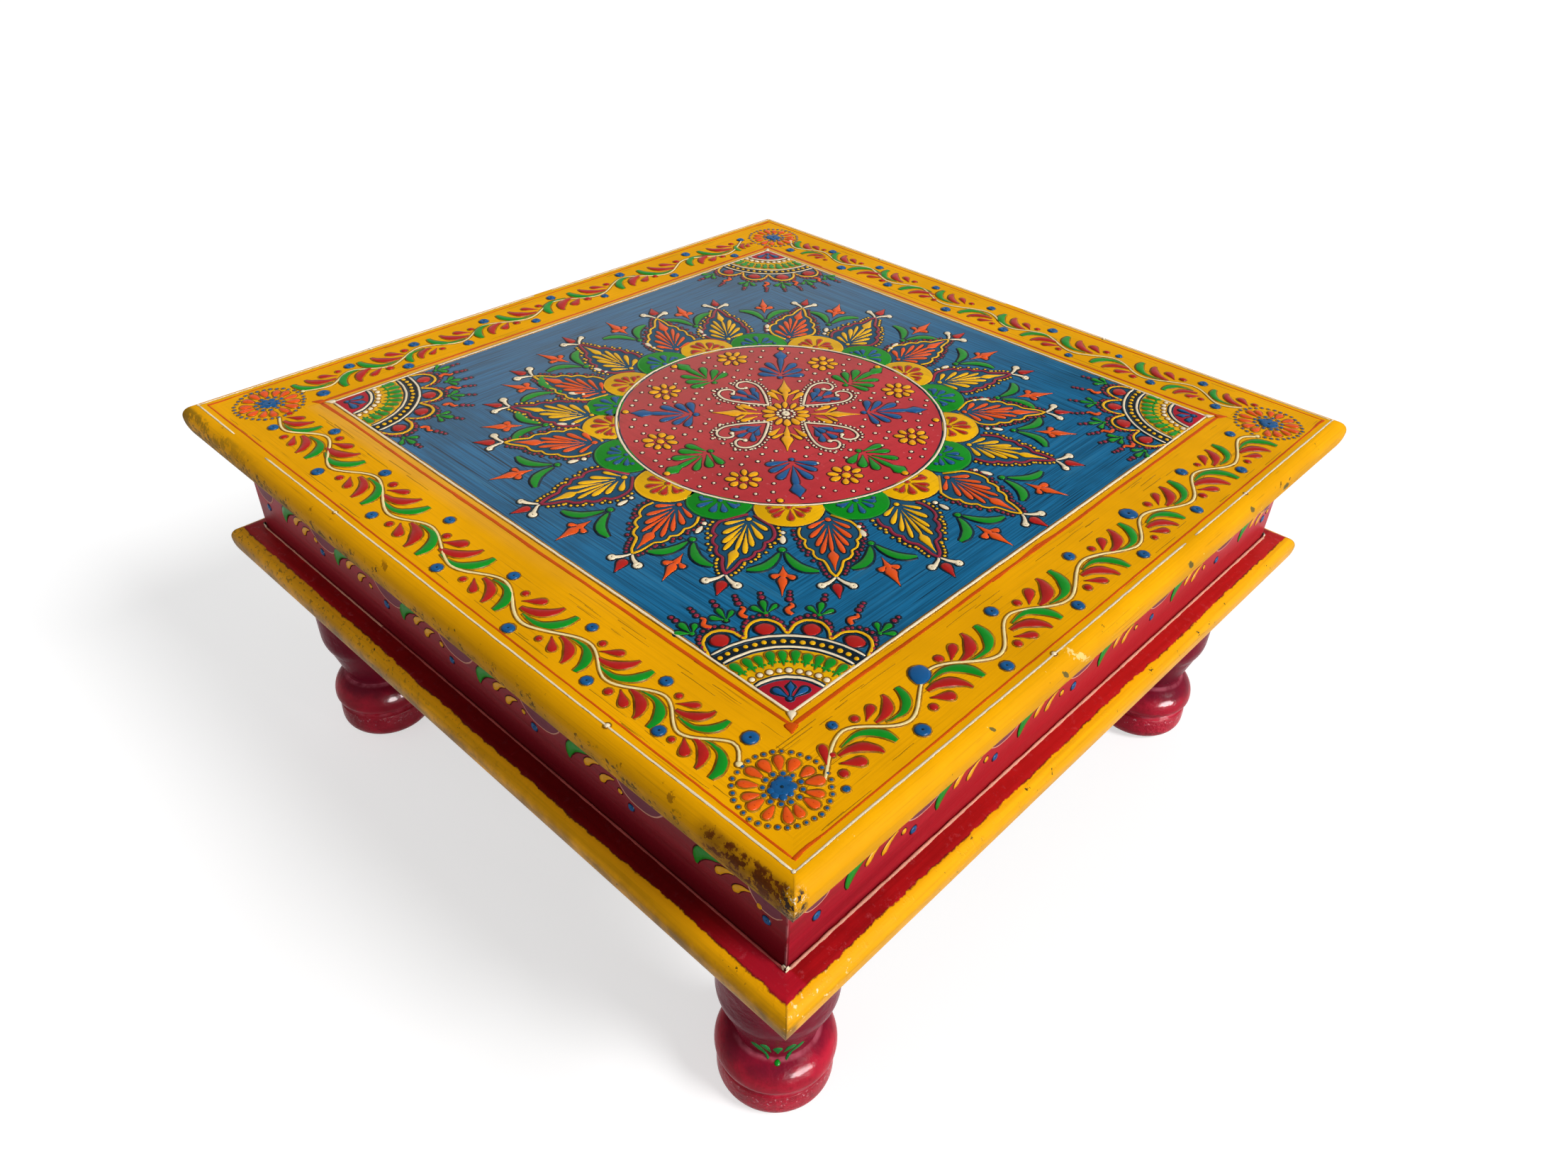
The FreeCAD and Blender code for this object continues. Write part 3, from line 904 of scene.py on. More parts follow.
def smooth_path(points, pitch):
    """A smooth line through the points, with a step of about the pitch."""
    points = [Vector(p) for p in points]
    last = len(points) - 1
    path = []
    for k in range(last):
        before, start, end, after = (points[min(max(k + j, 0), last)] for j in (-1, 0, 1, 2))
        steps = max(1, round((end - start).length / pitch))
        for step in range(steps):
            t = step / steps
            ahead = (end - before) * t
            bend = (2 * before - 5 * start + 4 * end - after) * t * t
            twist = (3 * start - before - 3 * end + after) * t ** 3
            path.append(0.5 * (2 * start + ahead + bend + twist))
    path.append(points[-1])
    return path


def between(values, place, base=0.0):
    """The base and a value between two neighbours of a list."""
    low = int(place)
    part = place - low
    return base + values[low] * (1 - part) + values[low + 1] * part


class Sheet:
    """Marks of paint on a flat sheet, in millimetres, before they are laid on the table."""

    def __init__(self, name, seed, wash=None):
        self.name = name
        self.dice = random.Random(seed)
        self.wash = wash
        self.wash_base = mm("wash_width")
        self.coat = mm("coat")
        self.level = 0.0
        self.stamps = {}
        self.lines = {}
        self.patches = []

    @property
    def wash_width(self):
        """The wash is wide on the blue ground and narrow on the others."""
        return self.wash_base * (WASHES[self.wash][0] if self.wash else 1.0)

    def work(self, level, wash):
        """Goes on at a level and with a wash."""
        self.level = level
        self.wash = wash

    def near(self, amount):
        """A small slip of the hand."""
        return self.dice.uniform(-amount, amount)

    def stamp(self, shape, start, turn, size, paint):
        key = (shape, paint, self.level)
        self.stamps.setdefault(key, []).append((start[0], start[1], turn, size, self.dice.random()))

    def dot(self, place, radius, paint, shape="dot", height=None, wash=True):
        """A round dot."""
        x = place[0] + self.near(radius * DOT_SLIP)
        y = place[1] + self.near(radius * DOT_SLIP)
        across = 2 * radius * (1 + self.near(0.12))
        low, high = DOT_HEIGHTS
        high = height or max(low, min(high, DOT_HEIGHT * radius))
        turn = self.dice.uniform(0, 2 * math.pi)
        self.stamp(shape, (x, y), turn, (across, across * (1 + self.near(0.08)), high), paint)
        if shape == "button":
            pit = (across * PIT_SHARE, across * PIT_SHARE, high * PIT_HEIGHT)
            self.stamp("dot", (x + self.near(0.12), y + self.near(0.12)), 0.0, pit, "wash on_blue")
        if wash and self.wash:
            wide = across + 2 * self.wash_width
            self.stamp("halo", (x, y), 0.0, (wide, wide, WASH_HEIGHT), self.wash)

    def drop(self, start, end, width, paint, shape="drop", height=0.38, wash=True):
        """A drop with its thin end at the start."""
        start = Vector(start) + Vector((self.near(START_SLIP), self.near(START_SLIP)))
        end = Vector(end) + Vector((self.near(END_SLIP), self.near(END_SLIP)))
        way = end - start
        turn = math.atan2(way.y, way.x)
        wide = width * (1 + self.near(0.16))
        self.stamp(shape, start, turn, (way.length, wide, height), paint)
        if wash and self.wash:
            back = start - way.normalized() * self.wash_width
            size = (way.length + 2 * self.wash_width, wide + 2.2 * self.wash_width, WASH_HEIGHT)
            self.stamp(shape, back, turn, size, self.wash)

    def line(self, points, width, paint, closed=False, share=BEAD_SHARE, wash=True, shake=0.08, tapered=True):
        """A bead along points that are close together already; a list of widths follows the points."""
        count = len(points)
        if isinstance(width, (int, float)):
            wave = [self.near(0.14) for _ in range(count // WAVE_STEPS + 3)]
            widths = [width * between(wave, k / WAVE_STEPS, 1) for k in range(count)]
            if tapered and not closed:
                widths[0] *= 0.7
                widths[-1] *= 0.7
        else:
            widths = list(width)
        path = [(p[0] + self.near(shake), p[1] + self.near(shake)) for p in points]
        tint = self.dice.random()
        made = [((paint, share, self.level, BEAD_SIDES), [w / 2 for w in widths])]
        if wash and self.wash:
            made.append(((self.wash, 0.0, self.level, WASH_SIDES), [w / 2 + self.wash_width for w in widths]))
        for key, halves in made:
            self.lines.setdefault(key, []).append((path, halves, closed, tint))

    def stroke(self, points, widths, paint, pitch=0.9, share=0.5, wash=True):
        """A brush stroke through a few points, with its width given at each of them."""
        together = smooth_path([(p[0], p[1], w) for p, w in zip(points, widths)], pitch)
        path = [(p.x, p.y) for p in together]
        self.line(path, [max(p.z, 0.25) for p in together], paint, share=share, wash=wash, shake=0.05)

    def ray(self, origin, inner, outer, angle, width, paint, **options):
        """A drop that points away from an origin."""
        self.drop(polar(origin, inner, angle), polar(origin, outer, angle), width, paint, **options)

    def ring(self, origin, radius, count, size, paint, start=0.0, slip=0.0):
        """Dots round an origin, each at a radius that slips a little."""
        for k in range(count):
            reach = radius + self.near(slip) if slip else radius
            self.dot(polar(origin, reach, start + k * FULL_TURN / count), size, paint)

    def patch(self, outline, paint, thick=None):
        """A flat coat inside an outline that runs anticlockwise."""
        self.patches.append(([Vector(p) for p in outline], paint, self.level, thick or self.coat))

    # What the sheet becomes

    def stamp_parts(self):
        for (shape, paint, level), marks in self.stamps.items():
            guides = plain_mesh("guides", [(x, y, level) for x, y, *_ in marks], [], [])
            keep(guides, "turn", [m[2] for m in marks])
            keep(guides, "size", [v for m in marks for v in m[3]], "FLOAT_VECTOR", "vector")
            keep(guides, "tint", [m[4] for m in marks])
            stamp = shape_mesh(shape)
            pattern = bpy.data.objects.new("pattern", stamp)
            made = grown("stamps", guides, shape=pattern, paint=material_of(paint))
            bpy.data.objects.remove(pattern)
            bpy.data.meshes.remove(stamp)
            yield made, paint, level

    def line_parts(self):
        for (paint, share, level, sides), lines in self.lines.items():
            vertices, edges, widths, tints = [], [], [], []
            for points, halves, closed, tint in lines:
                first, last = len(vertices), len(vertices) + len(points) - 1
                vertices += [(p[0], p[1], level) for p in points]
                edges += [(k, k + 1) for k in range(first, last)]
                if closed:
                    edges.append((last, first))
                widths += halves
                tints += [tint] * len(points)
            guides = plain_mesh("guides", vertices, edges, [])
            keep(guides, "half_width", widths)
            keep(guides, "tint", tints)
            high = share or WASH_HEIGHT
            yield grown("beads", guides, paint=material_of(paint), height_share=high, sides=sides), paint, level

    def patch_parts(self):
        for outline, paint, level, thick in self.patches:
            count = len(outline)
            vertices = []
            for inward, z, share in PATCH_RINGS:
                for k, point in enumerate(outline):
                    way = (outline[(k + 1) % count] - outline[k - 1]).normalized()
                    height = level + (z + thick * share)
                    vertices.append((point.x - way.y * inward, point.y + way.x * inward, height))
            faces = quads(len(PATCH_RINGS), count, closed=True)
            faces.append(tuple(2 * count + k for k in range(count)))
            faces.append(tuple(range(count - 1, -1, -1)))
            yield plain_mesh("patch", vertices, [], faces), paint, level

    def laid(self, place):
        """Joins all marks, lays them on the table by the given placing and makes the piece."""
        vertices, faces, rises, tints, used, paints = [], [], [], [], [], []
        for mesh, paint, level in (*self.patch_parts(), *self.line_parts(), *self.stamp_parts()):
            if paint not in paints:
                paints.append(paint)
            count = len(mesh.vertices)
            co = np.zeros(count * 3)
            mesh.vertices.foreach_get("co", co)
            co = co.reshape(-1, 3)
            offset = sum(len(v) for v in vertices)
            rings = [tuple(p.vertices) for p in mesh.polygons]
            if signed_volume(co, rings) < 0:
                rings = [ring[::-1] for ring in rings]
            vertices.append(co)
            faces += [tuple(v + offset for v in ring) for ring in rings]
            used += [paints.index(paint)] * len(rings)
            rises.append(co[:, 2] - level)
            tint = np.full(count, 0.5)
            if "tint" in mesh.attributes and mesh.attributes["tint"].domain == "POINT":
                mesh.attributes["tint"].data.foreach_get("value", tint)
            tints.append(tint)
            bpy.data.meshes.remove(mesh)
        if not vertices:
            raise RuntimeError(f"{self.name} has no marks")
        mesh = plain_mesh(self.name, place(np.vstack(vertices)).tolist(), [], faces)
        for name, values in (("rise", rises), ("tint", tints)):
            keep(mesh, name, np.concatenate(values).astype(np.float32))
        for paint in paints:
            mesh.materials.append(material_of(paint))
        mesh.polygons.foreach_set("material_index", used)
        mesh.shade_smooth()
        mesh.update()
        piece = linked(self.name, mesh)
        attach(piece, "root")


def signed_volume(co, rings):
    """Volume inside the faces, below zero where they point inwards."""
    total = 0.0
    for ring in rings:
        a = co[ring[0]]
        for k in range(1, len(ring) - 1):
            total += float(np.dot(a, np.cross(co[ring[k]], co[ring[k + 1]])))
    return total


def on_top(co):
    """Lays a sheet on the upper face."""
    return co * MM + np.array((0.0, 0.0, TOP_FACE))


def on_apron(quarter):
    """Lays a sheet on an apron: along it, up from the floor and out from its face."""
    turn = math.pi / 2 * quarter
    along = np.array((math.cos(turn), math.sin(turn), 0.0))
    out = np.array((math.sin(turn), -math.cos(turn), 0.0))
    up = np.array((0.0, 0.0, 1.0))

    def place(co):
        co = co * MM
        return out * APRON_HALF + co[:, :1] * along + co[:, 1:2] * up + co[:, 2:] * out

    return place


def frame_at(origin, degrees, stretch=1.0):
    """Places marks along a direction: u along it, stretched, and v to its left."""
    turn = math.radians(degrees)
    ahead = Vector((math.cos(turn), math.sin(turn)))
    left = Vector((-ahead.y, ahead.x))
    return lambda u, v=0.0: Vector(origin) + ahead * (u * stretch) + left * v


def polar(origin, radius, degrees):
    """A point at a radius and an angle from the origin."""
    turn = math.radians(degrees)
    return Vector((origin[0] + radius * math.cos(turn), origin[1] + radius * math.sin(turn)))


def arc(origin, radius, start, end, pitch=2.0):
    """Points along an arc, from one angle to another."""
    steps = max(3, round(abs(math.radians(end - start)) * radius / pitch))
    return [polar(origin, radius, start + (end - start) * k / steps) for k in range(steps + 1)]


def spray(sheet, at, drops, paint, **options):
    """Pairs of drops, one each side of a direction, and single ones on it."""
    for u0, v0, u1, v1, width in drops:
        sides = (1, -1) if v0 or v1 else (1,)
        for side in sides:
            sheet.drop(at(u0, side * v0), at(u1, side * v1), width, paint, **options)


def motif(sheet, at, groups):
    """Marks along a direction: for each paint its rows of numbers, and perhaps options of the mark at their end.

    Two numbers are a dot's place and radius, three a drop's start, end and width, and five a pair of drops.
    """
    for paint, *rows in groups:
        for row in rows:
            options = row[-1] if isinstance(row[-1], dict) else {}
            numbers = row[:-1] if options else row
            if len(numbers) == 2:
                sheet.dot(at(numbers[0]), numbers[1], paint, **options)
            elif len(numbers) == 3:
                sheet.drop(at(numbers[0]), at(numbers[1]), numbers[2], paint, **options)
            else:
                spray(sheet, at, (numbers,), paint, **options)


# Lines and vines of the border, read along each side in the way it grows

# Vine bends: place along the side and distance from the middle of the top, turn and turn about
VINES = (
    ((-119.6, 131), (-108.8, 134), (-94.8, 125.9), (-76.1, 135.2), (-59.6, 127.5), (-38.3, 136.1),
     (-21.8, 130.5), (-0.8, 137.6), (16.5, 130.7), (35.3, 138.6), (55.2, 130.8), (70.5, 137.1), (85.8, 130.2),
     (98.3, 136.7), (110, 129.6), (116.3, 133.5)),
    ((-122.6, 134.3), (-107.3, 126.5), (-92.3, 136.1), (-73.1, 127.5), (-54.8, 137.4), (-38.3, 129),
     (-19.8, 137.3), (0.5, 129.8), (20.3, 137.6), (36.8, 129.9), (56.3, 137.3), (73.5, 129.3), (90, 136.1),
     (107.7, 129.3), (114.8, 133.2)),
    ((-119.3, 132), (-111, 128.1), (-97.5, 135), (-79.5, 127.4), (-63.8, 134), (-47.3, 126.5),
     (-30, 133.2), (-15, 127.4), (0, 134.3), (19.5, 127.2), (36.8, 134.3), (51.8, 129), (69, 135.3),
     (82.5, 129.8), (97.5, 134.3), (110.3, 128.3), (118.5, 133.5)),
    ((-117.8, 136.5), (-98.3, 126.8), (-78, 135), (-60, 127.5), (-41.3, 137.3), (-21.8, 129),
     (-2.3, 136.5), (15.8, 129.5), (33.8, 136.2), (48.8, 129), (64.5, 135.8), (81, 129), (94.5, 135.5),
     (105.8, 129.5), (115.5, 132.3)),
)

# Leaf groups: place and distance of the red dot, then of the green leaf's tip
INNER_LEAVES = (
    ((-119.6, 127.1, -103.2, 123.5), (-91.2, 123.5, -71.3, 125), (-52.2, 126, -32.3, 124.8),
     (-15, 129.9, 5.3, 126.3), (25.5, 129.9, 44.6, 126), (58.2, 128.4, 76.5, 126), (88.2, 127.8, 104, 124.8)),
    ((-101.7, 125.7, -85.1, 125.7), (-68, 126.5, -49.2, 125), (-31.8, 127.5, -11.7, 125.3),
     (7.8, 128.4, 26.7, 126.8), (44, 128, 62.3, 125.3), (79.8, 127.2, 96.8, 124.2)),
    ((-105, 127.1, -90.8, 123), (-76.5, 125.3, -58.2, 123.5), (-42.3, 124.8, -24, 124.2),
     (-8.3, 125.6, 8.3, 123.8), (24.5, 127.8, 42.3, 125), (54.8, 127.8, 73.5, 125.6), (90, 127.5, 102.8, 124.5)),
    ((-116.7, 129, -105.8, 125.3), (-93.8, 125.7, -75.5, 126.8), (-54, 128.7, -34.1, 127.2),
     (-15, 129, 5.7, 127.2), (22.5, 129.3, 40.8, 126.3), (58.2, 128.7, 73.1, 126.3), (82.5, 127.5, 101.7, 125)),
)
OUTER_LEAVES = (
    ((-105.3, 136.5, -87, 138.5), (-68, 136.1, -48.8, 139.5), (-32.7, 138.9, -12.8, 142.1),
     (7.5, 138.9, 25.5, 141), (44.6, 139.2, 62, 141), (74.4, 139.4, 91.5, 141), (98.6, 139.4, 114.8, 141.8)),
    ((-117.8, 136.1, -100.2, 138.3), (-83.9, 137.4, -64.8, 139.5), (-47.1, 138.3, -28.5, 140.7),
     (-10.5, 138.3, 8, 141.6), (28.1, 139.2, 45, 140.7), (62.3, 137.9, 81.8, 141.6), (95.1, 138.8, 113.3, 141.3)),
    ((-121.5, 137.5, -105, 138.5), (-91.8, 137, -73.2, 139.5), (-57.9, 136.8, -38.7, 138.8),
     (-25.2, 135.3, -6.8, 138.3), (10.5, 136.8, 27.8, 139.5), (43.5, 137.7, 60.8, 140), (75, 136.8, 91.5, 139.5),
     (99, 136.8, 114.8, 136.8)),
    ((-108.8, 135.3, -90, 139.2), (-72.8, 135.8, -52.5, 139.8), (-31.5, 136.5, -12.8, 140.3),
     (5.3, 137.3, 24, 141), (39.8, 136.5, 57.8, 140.3), (70.2, 137.3, 88.5, 140.3), (98.3, 138, 115.8, 139.5)),
)

# Ringed blue dots: place, distance from the middle and radius
BLUE_DOTS = (
    ((-96.5, 122.4, 2), (-113.6, 135.9, 2), (-60, 123.9, 2), (-76.2, 139.5, 2), (-21.8, 124.8, 2), (-40.4, 140, 2),
     (16.5, 127.7, 2), (-2.6, 141, 2), (51.2, 126.3, 2), (35.1, 142.5, 2.1), (81.9, 126.3, 2), (67.4, 140.6, 2),
     (112.2, 125.7, 2.3), (94.5, 139.8, 2), (139.8, 121.2, 1)),
    ((-107.6, 123.2, 1.4), (-92.9, 140.6, 2.2), (-40.4, 125, 2), (-57, 141.6, 2.1), (-0.5, 125.4, 2.2),
     (-19.8, 140.9, 2.1), (33.8, 125.9, 2.8), (17.3, 141.5, 1.9), (71, 125.7, 2), (52.8, 140.7, 1.9),
     (108.8, 125.4, 2), (88.1, 139.7, 2), (-121.5, 139.8, 0.9)),
    ((-111.3, 125.3, 2), (-99.2, 139.5, 1.8), (-83.9, 125.6, 2), (-63.6, 137.3, 1.6), (-48.2, 122.7, 1.8),
     (-30.5, 138.8, 2), (-15, 124.1, 2.1), (1.2, 138.9, 2.1), (14.6, 123, 2.1), (32.3, 139.1, 2.1),
     (49.5, 126, 2), (65.6, 138.8, 2), (78, 125.6, 2), (94.5, 137.7, 2), (110, 124.5, 2.2)),
    ((-99, 123, 2), (-116, 136.2, 2), (-61.1, 124.1, 2), (-82.7, 139.7, 2), (-22.8, 126.3, 1.8),
     (-43.1, 141, 2.3), (14.9, 125.3, 2), (-3.8, 140.7, 2), (47.7, 126, 2), (31.7, 139.7, 2),
     (76.1, 124.1, 2), (64.5, 139.8, 2.1), (110.7, 125.6, 2.3), (92.9, 139.1, 2)),
)

# One leaf group, from its dot at the origin: along the growth and away from the vine
GROUP_DOT = 1.25
GROUP_DROP = ((1.9, -2.5), (7.2, 1.3), 3.0)
GROUP_COMMA = (((3.3, -4.7), (6.6, -4.3), (9.9, -2.6), (11.9, 0.2), (12.3, 2.4)), (0.9, 2.2, 3.3, 2.1, 0.5))
GROUP_LEAF = (((5.6, -6.1), (9.0, -6.6), (12.4, -6.3), (15.4, -4.3), (17.2, -1.4), (17.6, 1.9)),
              (0.5, 1.1, 2.0, 3.0, 2.9, 1.5))


def on_side(quarter):
    """Turns a place along a side and its distance from the middle into a point of the top."""
    turn = math.pi / 2 * quarter
    along = Vector((math.cos(turn), math.sin(turn)))
    out = Vector((math.sin(turn), -math.cos(turn)))
    return lambda s, d: along * s + out * d


def leaf_group(sheet, dot, tip, outward, side):
    """One group of a red dot, a drop, a comma and a green leaf, fitted between its dot and its tip."""
    start = complex(dot[0], dot[1] * outward)
    end = complex(tip[0], tip[1] * outward)
    local = complex(*GROUP_LEAF[0][-1])
    fit = (end - start) / local
    scale = abs(fit)

    def at(point):
        spot = start + fit * complex(*point)
        return side(spot.real, spot.imag * outward)

    sheet.dot(at((0, 0)), GROUP_DOT * scale, "stroke_red")
    begin, finish, width = GROUP_DROP
    sheet.drop(at(begin), at(finish), width * scale, "stroke_red")
    points, widths = GROUP_COMMA
    sheet.stroke([at(p) for p in points], [w * scale * (1 + sheet.near(0.1)) for w in widths], "stroke_red", share=0.26)
    points, widths = GROUP_LEAF
    sheet.stroke([at(p) for p in points], [w * scale * (1 + sheet.near(0.1)) for w in widths], "green", share=0.26)


def make_border_vines():
    sheet = Sheet("border_vines", 11, "wash on_yellow")
    for quarter in range(4):
        side = on_side(quarter)
        path = smooth_path([side(*bend) for bend in VINES[quarter]], 1.6)
        sheet.line(path, 0.88, "vine_cream", shake=0.03)
        sheet.dot(path[-1], 1.0, "vine_cream")
        for dot_s, dot_d, tip_s, tip_d in INNER_LEAVES[quarter]:
            leaf_group(sheet, (dot_s, dot_d), (tip_s, tip_d), -1, side)
        for dot_s, dot_d, tip_s, tip_d in OUTER_LEAVES[quarter]:
            leaf_group(sheet, (dot_s, dot_d), (tip_s, tip_d), 1, side)
        for s, d, radius in BLUE_DOTS[quarter]:
            sheet.dot(side(s, d), radius, "dot_blue", shape="button")
    right = on_side(1)
    sheet.drop(right(-80.0, 129.3), right(-73.8, 124.6), 6.4, "dot_blue", shape="petal", height=0.55)
    sheet.drop(right(-119.0, 131.5), right(-114.3, 126.0), 2.6, "stroke_red")
    sheet.dot(right(-115.2, 130.2), 1.0, "stroke_red")
    sheet.laid(on_top)


def rough_line(sheet, start, end, width, paint, gaps=(), share=BEAD_SHARE, slip=0.16, wash=True):
    """A hand-drawn straight line in pieces, with worn gaps at the given shares of its length."""
    start, end = Vector(start), Vector(end)
    way = end - start
    aside = Vector((-way.y, way.x)).normalized()
    steps = round(way.length / LINE_PITCH)
    drift = [sheet.near(slip) for _ in range(steps // DRIFT_STEPS + 3)]
    runs = [[]]
    for k in range(steps + 1):
        if any(a < k / steps < b for a, b in gaps):
            runs.append([])
        else:
            runs[-1].append(start + way * (k / steps) + aside * between(drift, k / DRIFT_STEPS))
    for run in runs:
        if len(run) > 1:
            sheet.line(run, width, paint, share=share, wash=wash, shake=0.05)


ORANGE_INNER_GAP = 3.2
BRUSH_MARKS = 44
BRUSH_ROWS = (119.5, 122.0, 132.0, 143.2)
ORANGE_OUTER = 145.15
WHITE_OUTER = 147.6
WHITE_GAPS = (((0.108, 0.168),), ((0.612, 0.624),), ((0.47, 0.49),), ((0.47, 0.49),))
ORANGE_GAPS = ((0.1, 0.36), (0.56, 0.84))
SIGNS = ((-1, -1), (1, -1), (1, 1), (-1, 1))


def field_corners(out):
    """The corners of the blue field in turn, moved outwards."""
    left, right, front, back = (mm("field_" + side) for side in ("left", "right", "front", "back"))
    return [(left - out, front - out), (right + out, front - out), (right + out, back + out), (left - out, back + out)]


def square(half):
    """The corners of a square round the middle in turn."""
    return [(x * half, y * half) for x, y in SIGNS]


def make_border_lines():
    white = mm("bead_width")
    sheet = Sheet("border_lines", 12, "wash on_yellow")
    inner, wide = field_corners(0.0), field_corners(ORANGE_INNER_GAP)
    thin, outer = square(ORANGE_OUTER), square(WHITE_OUTER)
    for k in range(4):
        bare = {"wash": False}
        for corners, width, paint, options in (
            (inner, white, "cream", {"slip": 0.1}),
            (wide, 1.15, "flat orange", {"share": 0.16, "slip": 0.3, **bare}),
            (wide, 0.7, "flat orange", {"gaps": ORANGE_GAPS, "share": 0.2, "slip": 0.9, **bare}),
            (thin, 0.62, "flat orange", {"share": 0.3, "slip": 0.07, **bare}),
            (outer, white * 0.76, "cream", {"gaps": WHITE_GAPS[k], "slip": 0.12, **bare}),
        ):
            rough_line(sheet, corners[k], corners[(k + 1) % 4], width, paint, **options)
        a, b = Vector(outer[k]), Vector(outer[(k + 1) % 4])
        for share in (0.28, 0.71):
            spot = a + (b - a) * (share + sheet.near(0.08))
            sheet.dot(spot, 0.75 + sheet.near(0.15), "cream", height=0.42)
        # Brown marks that the brush left along the border
        side = on_side(k)
        for _ in range(BRUSH_MARKS):
            s, d = sheet.near(136.0), sheet.dice.choice(BRUSH_ROWS) + sheet.near(1.6)
            half = sheet.dice.uniform(2.0, 8.0)
            marks = [side(s + half * t, d + sheet.near(0.12)) for t in (-1.0, -0.35, 0.3, 1.0)]
            sheet.line(marks, sheet.dice.uniform(0.16, 0.34), "flat stain", share=0.18, wash=False, shake=0.0)
        # Blobs where the cone was set down and lifted at the corners
        sign, corner, far = Vector(SIGNS[k]), Vector(inner[k]), Vector(wide[k])
        sheet.drop(corner + sign * 1.9, corner - sign * 0.6, 2.6, "cream", height=0.42)
        sheet.drop(far + sign * 2.2, far - sign * 0.8, 3.4, "flat orange", height=0.34, wash=False)
        tail = [sign * ORANGE_OUTER + Vector((-sign.x * u, sign.y * v)) for u, v in ((0.3, -4.0), (0.1, -10.0))]
        sheet.stroke([sign * (ORANGE_OUTER + 0.1), *tail], (1.3, 1.0, 0.5), "flat orange", share=0.3, wash=False)
        sheet.dot(sign * (WHITE_OUTER - 0.1), 0.62, "cream", height=0.34, wash=False)
    sheet.laid(on_top)


# Corner rosettes: the middle of each
ROSETTES = ((129, -131.8), (131.6, 127.4), (-131.2, -128.9), (-127.4, 130.6))


def make_corner_rosettes():
    sheet = Sheet("corner_rosettes", 13, "wash on_yellow")
    for middle in ROSETTES:
        sheet.dot(middle, 3.1, "dot_blue", shape="button", height=0.5)
        start = sheet.dice.uniform(0, FULL_TURN)
        for k in range(8):
            place = polar(middle, 2.7 + sheet.near(0.35), start + 45 * k + sheet.near(8))
            sheet.dot(place, 1.15 + sheet.near(0.25), "dot_blue")
        for k in range(3):
            sheet.stamp("dot", polar(middle, 1.5, start + 120 * k), 0.0, (0.6, 0.8, 0.5), "wash on_blue")
        sheet.ring(middle, 4.9, 12, 0.74, "dot_blue", start, 0.2)
        start = sheet.dice.uniform(0, FULL_TURN)
        for k in range(14):
            angle = start + k * FULL_TURN / 14 + sheet.near(3)
            far = 10.4 + sheet.near(0.5)
            sheet.ray(middle, 5.8, far, angle, 3.0, "orange", shape="bulb", height=0.42)
            sheet.stamp("dot", polar(middle, far - 1.6 + sheet.near(0.3), angle), 0.0, (0.9, 1.0, 0.48), "flat ember")
        sheet.ring(middle, 11.9, 33, 0.55, "dot_blue", sheet.dice.uniform(0, FULL_TURN), 0.25)
    sheet.laid(on_top)


# The medallion

# Yellow flowers: how far from the middle of the disc, and their angle
FLOWERS = ((47.6, 113.3), (50.3, 70.6), (48.5, 28.2), (45.7, -17.6), (46.1, -62), (47.1, 249.5), (46.9, 202.5),
           (50.6, 156.4))
# Palmettes: their paint, their angles, where they start and how far they reach
PALMETTES = (("green", (2.2, 90, 179, 271), 36.0, 22.0), ("dot_blue", (-40, 52, 134, 224), 31.0, 24.0))
PALMETTE_DROPS = ((1.2, 1.2, 3.0, 8.8, 3.1), (2.8, 1.2, 7.8, 7.8, 3.1), (5.4, 1.0, 12.8, 5.6, 3.0))
HEART_LEFT = ((9.2, 0), (13, 2.9), (18, 6.2), (23.5, 8.5), (28, 7.6), (29.6, 4.6), (28, 1.9), (25.6, 1.6),
              (24.6, 3.4))
HEART_FILL = (
    ("dot_blue", (13.6, 0, 19.4, 0, 2.6), (15.2, 1, 19.8, 4, 2.5), (18.8, 1.6, 23, 5.6, 2.3), (19.6, 25, 2.4)),
)
TALL_HEAD = {"shape": "head", "height": 0.42}
YELLOW_PALMETTE = (
    ("yellow", (9, 18, 2.2), (14.6, 27.2, 5.2, TALL_HEAD), (10.6, 2.4, 16.6, 6.4, 2.9), (14.4, 0.9, 18.6, 5.2, 1.7)),
)
SCATTER_PITCH = 5.7


def disc_middle():
    """The middle of the red disc on the top."""
    return Vector((mm("disc_x"), mm("disc_y")))


def make_heart(sheet, at, side):
    """Half of a white heart, with its dots outside."""
    curve = [at(u, v * side) for u, v in HEART_LEFT]
    path = smooth_path(curve, 1.3)
    sheet.line(path, 1.0, "cream", shake=0.05)
    sheet.dot(path[-1], 1.0, "cream")
    centre = at(0)
    for point in smooth_path(curve[:7], 1.55)[1:]:
        u = (point - centre).dot(at(1) - centre)
        v = (point - centre).dot(at(0, 1) - centre) * side
        away = Vector((u - 20.5, v - 2.0)).normalized() * 1.75
        sheet.dot(at(u + away.x, (v + away.y) * side), 0.52, "cream")


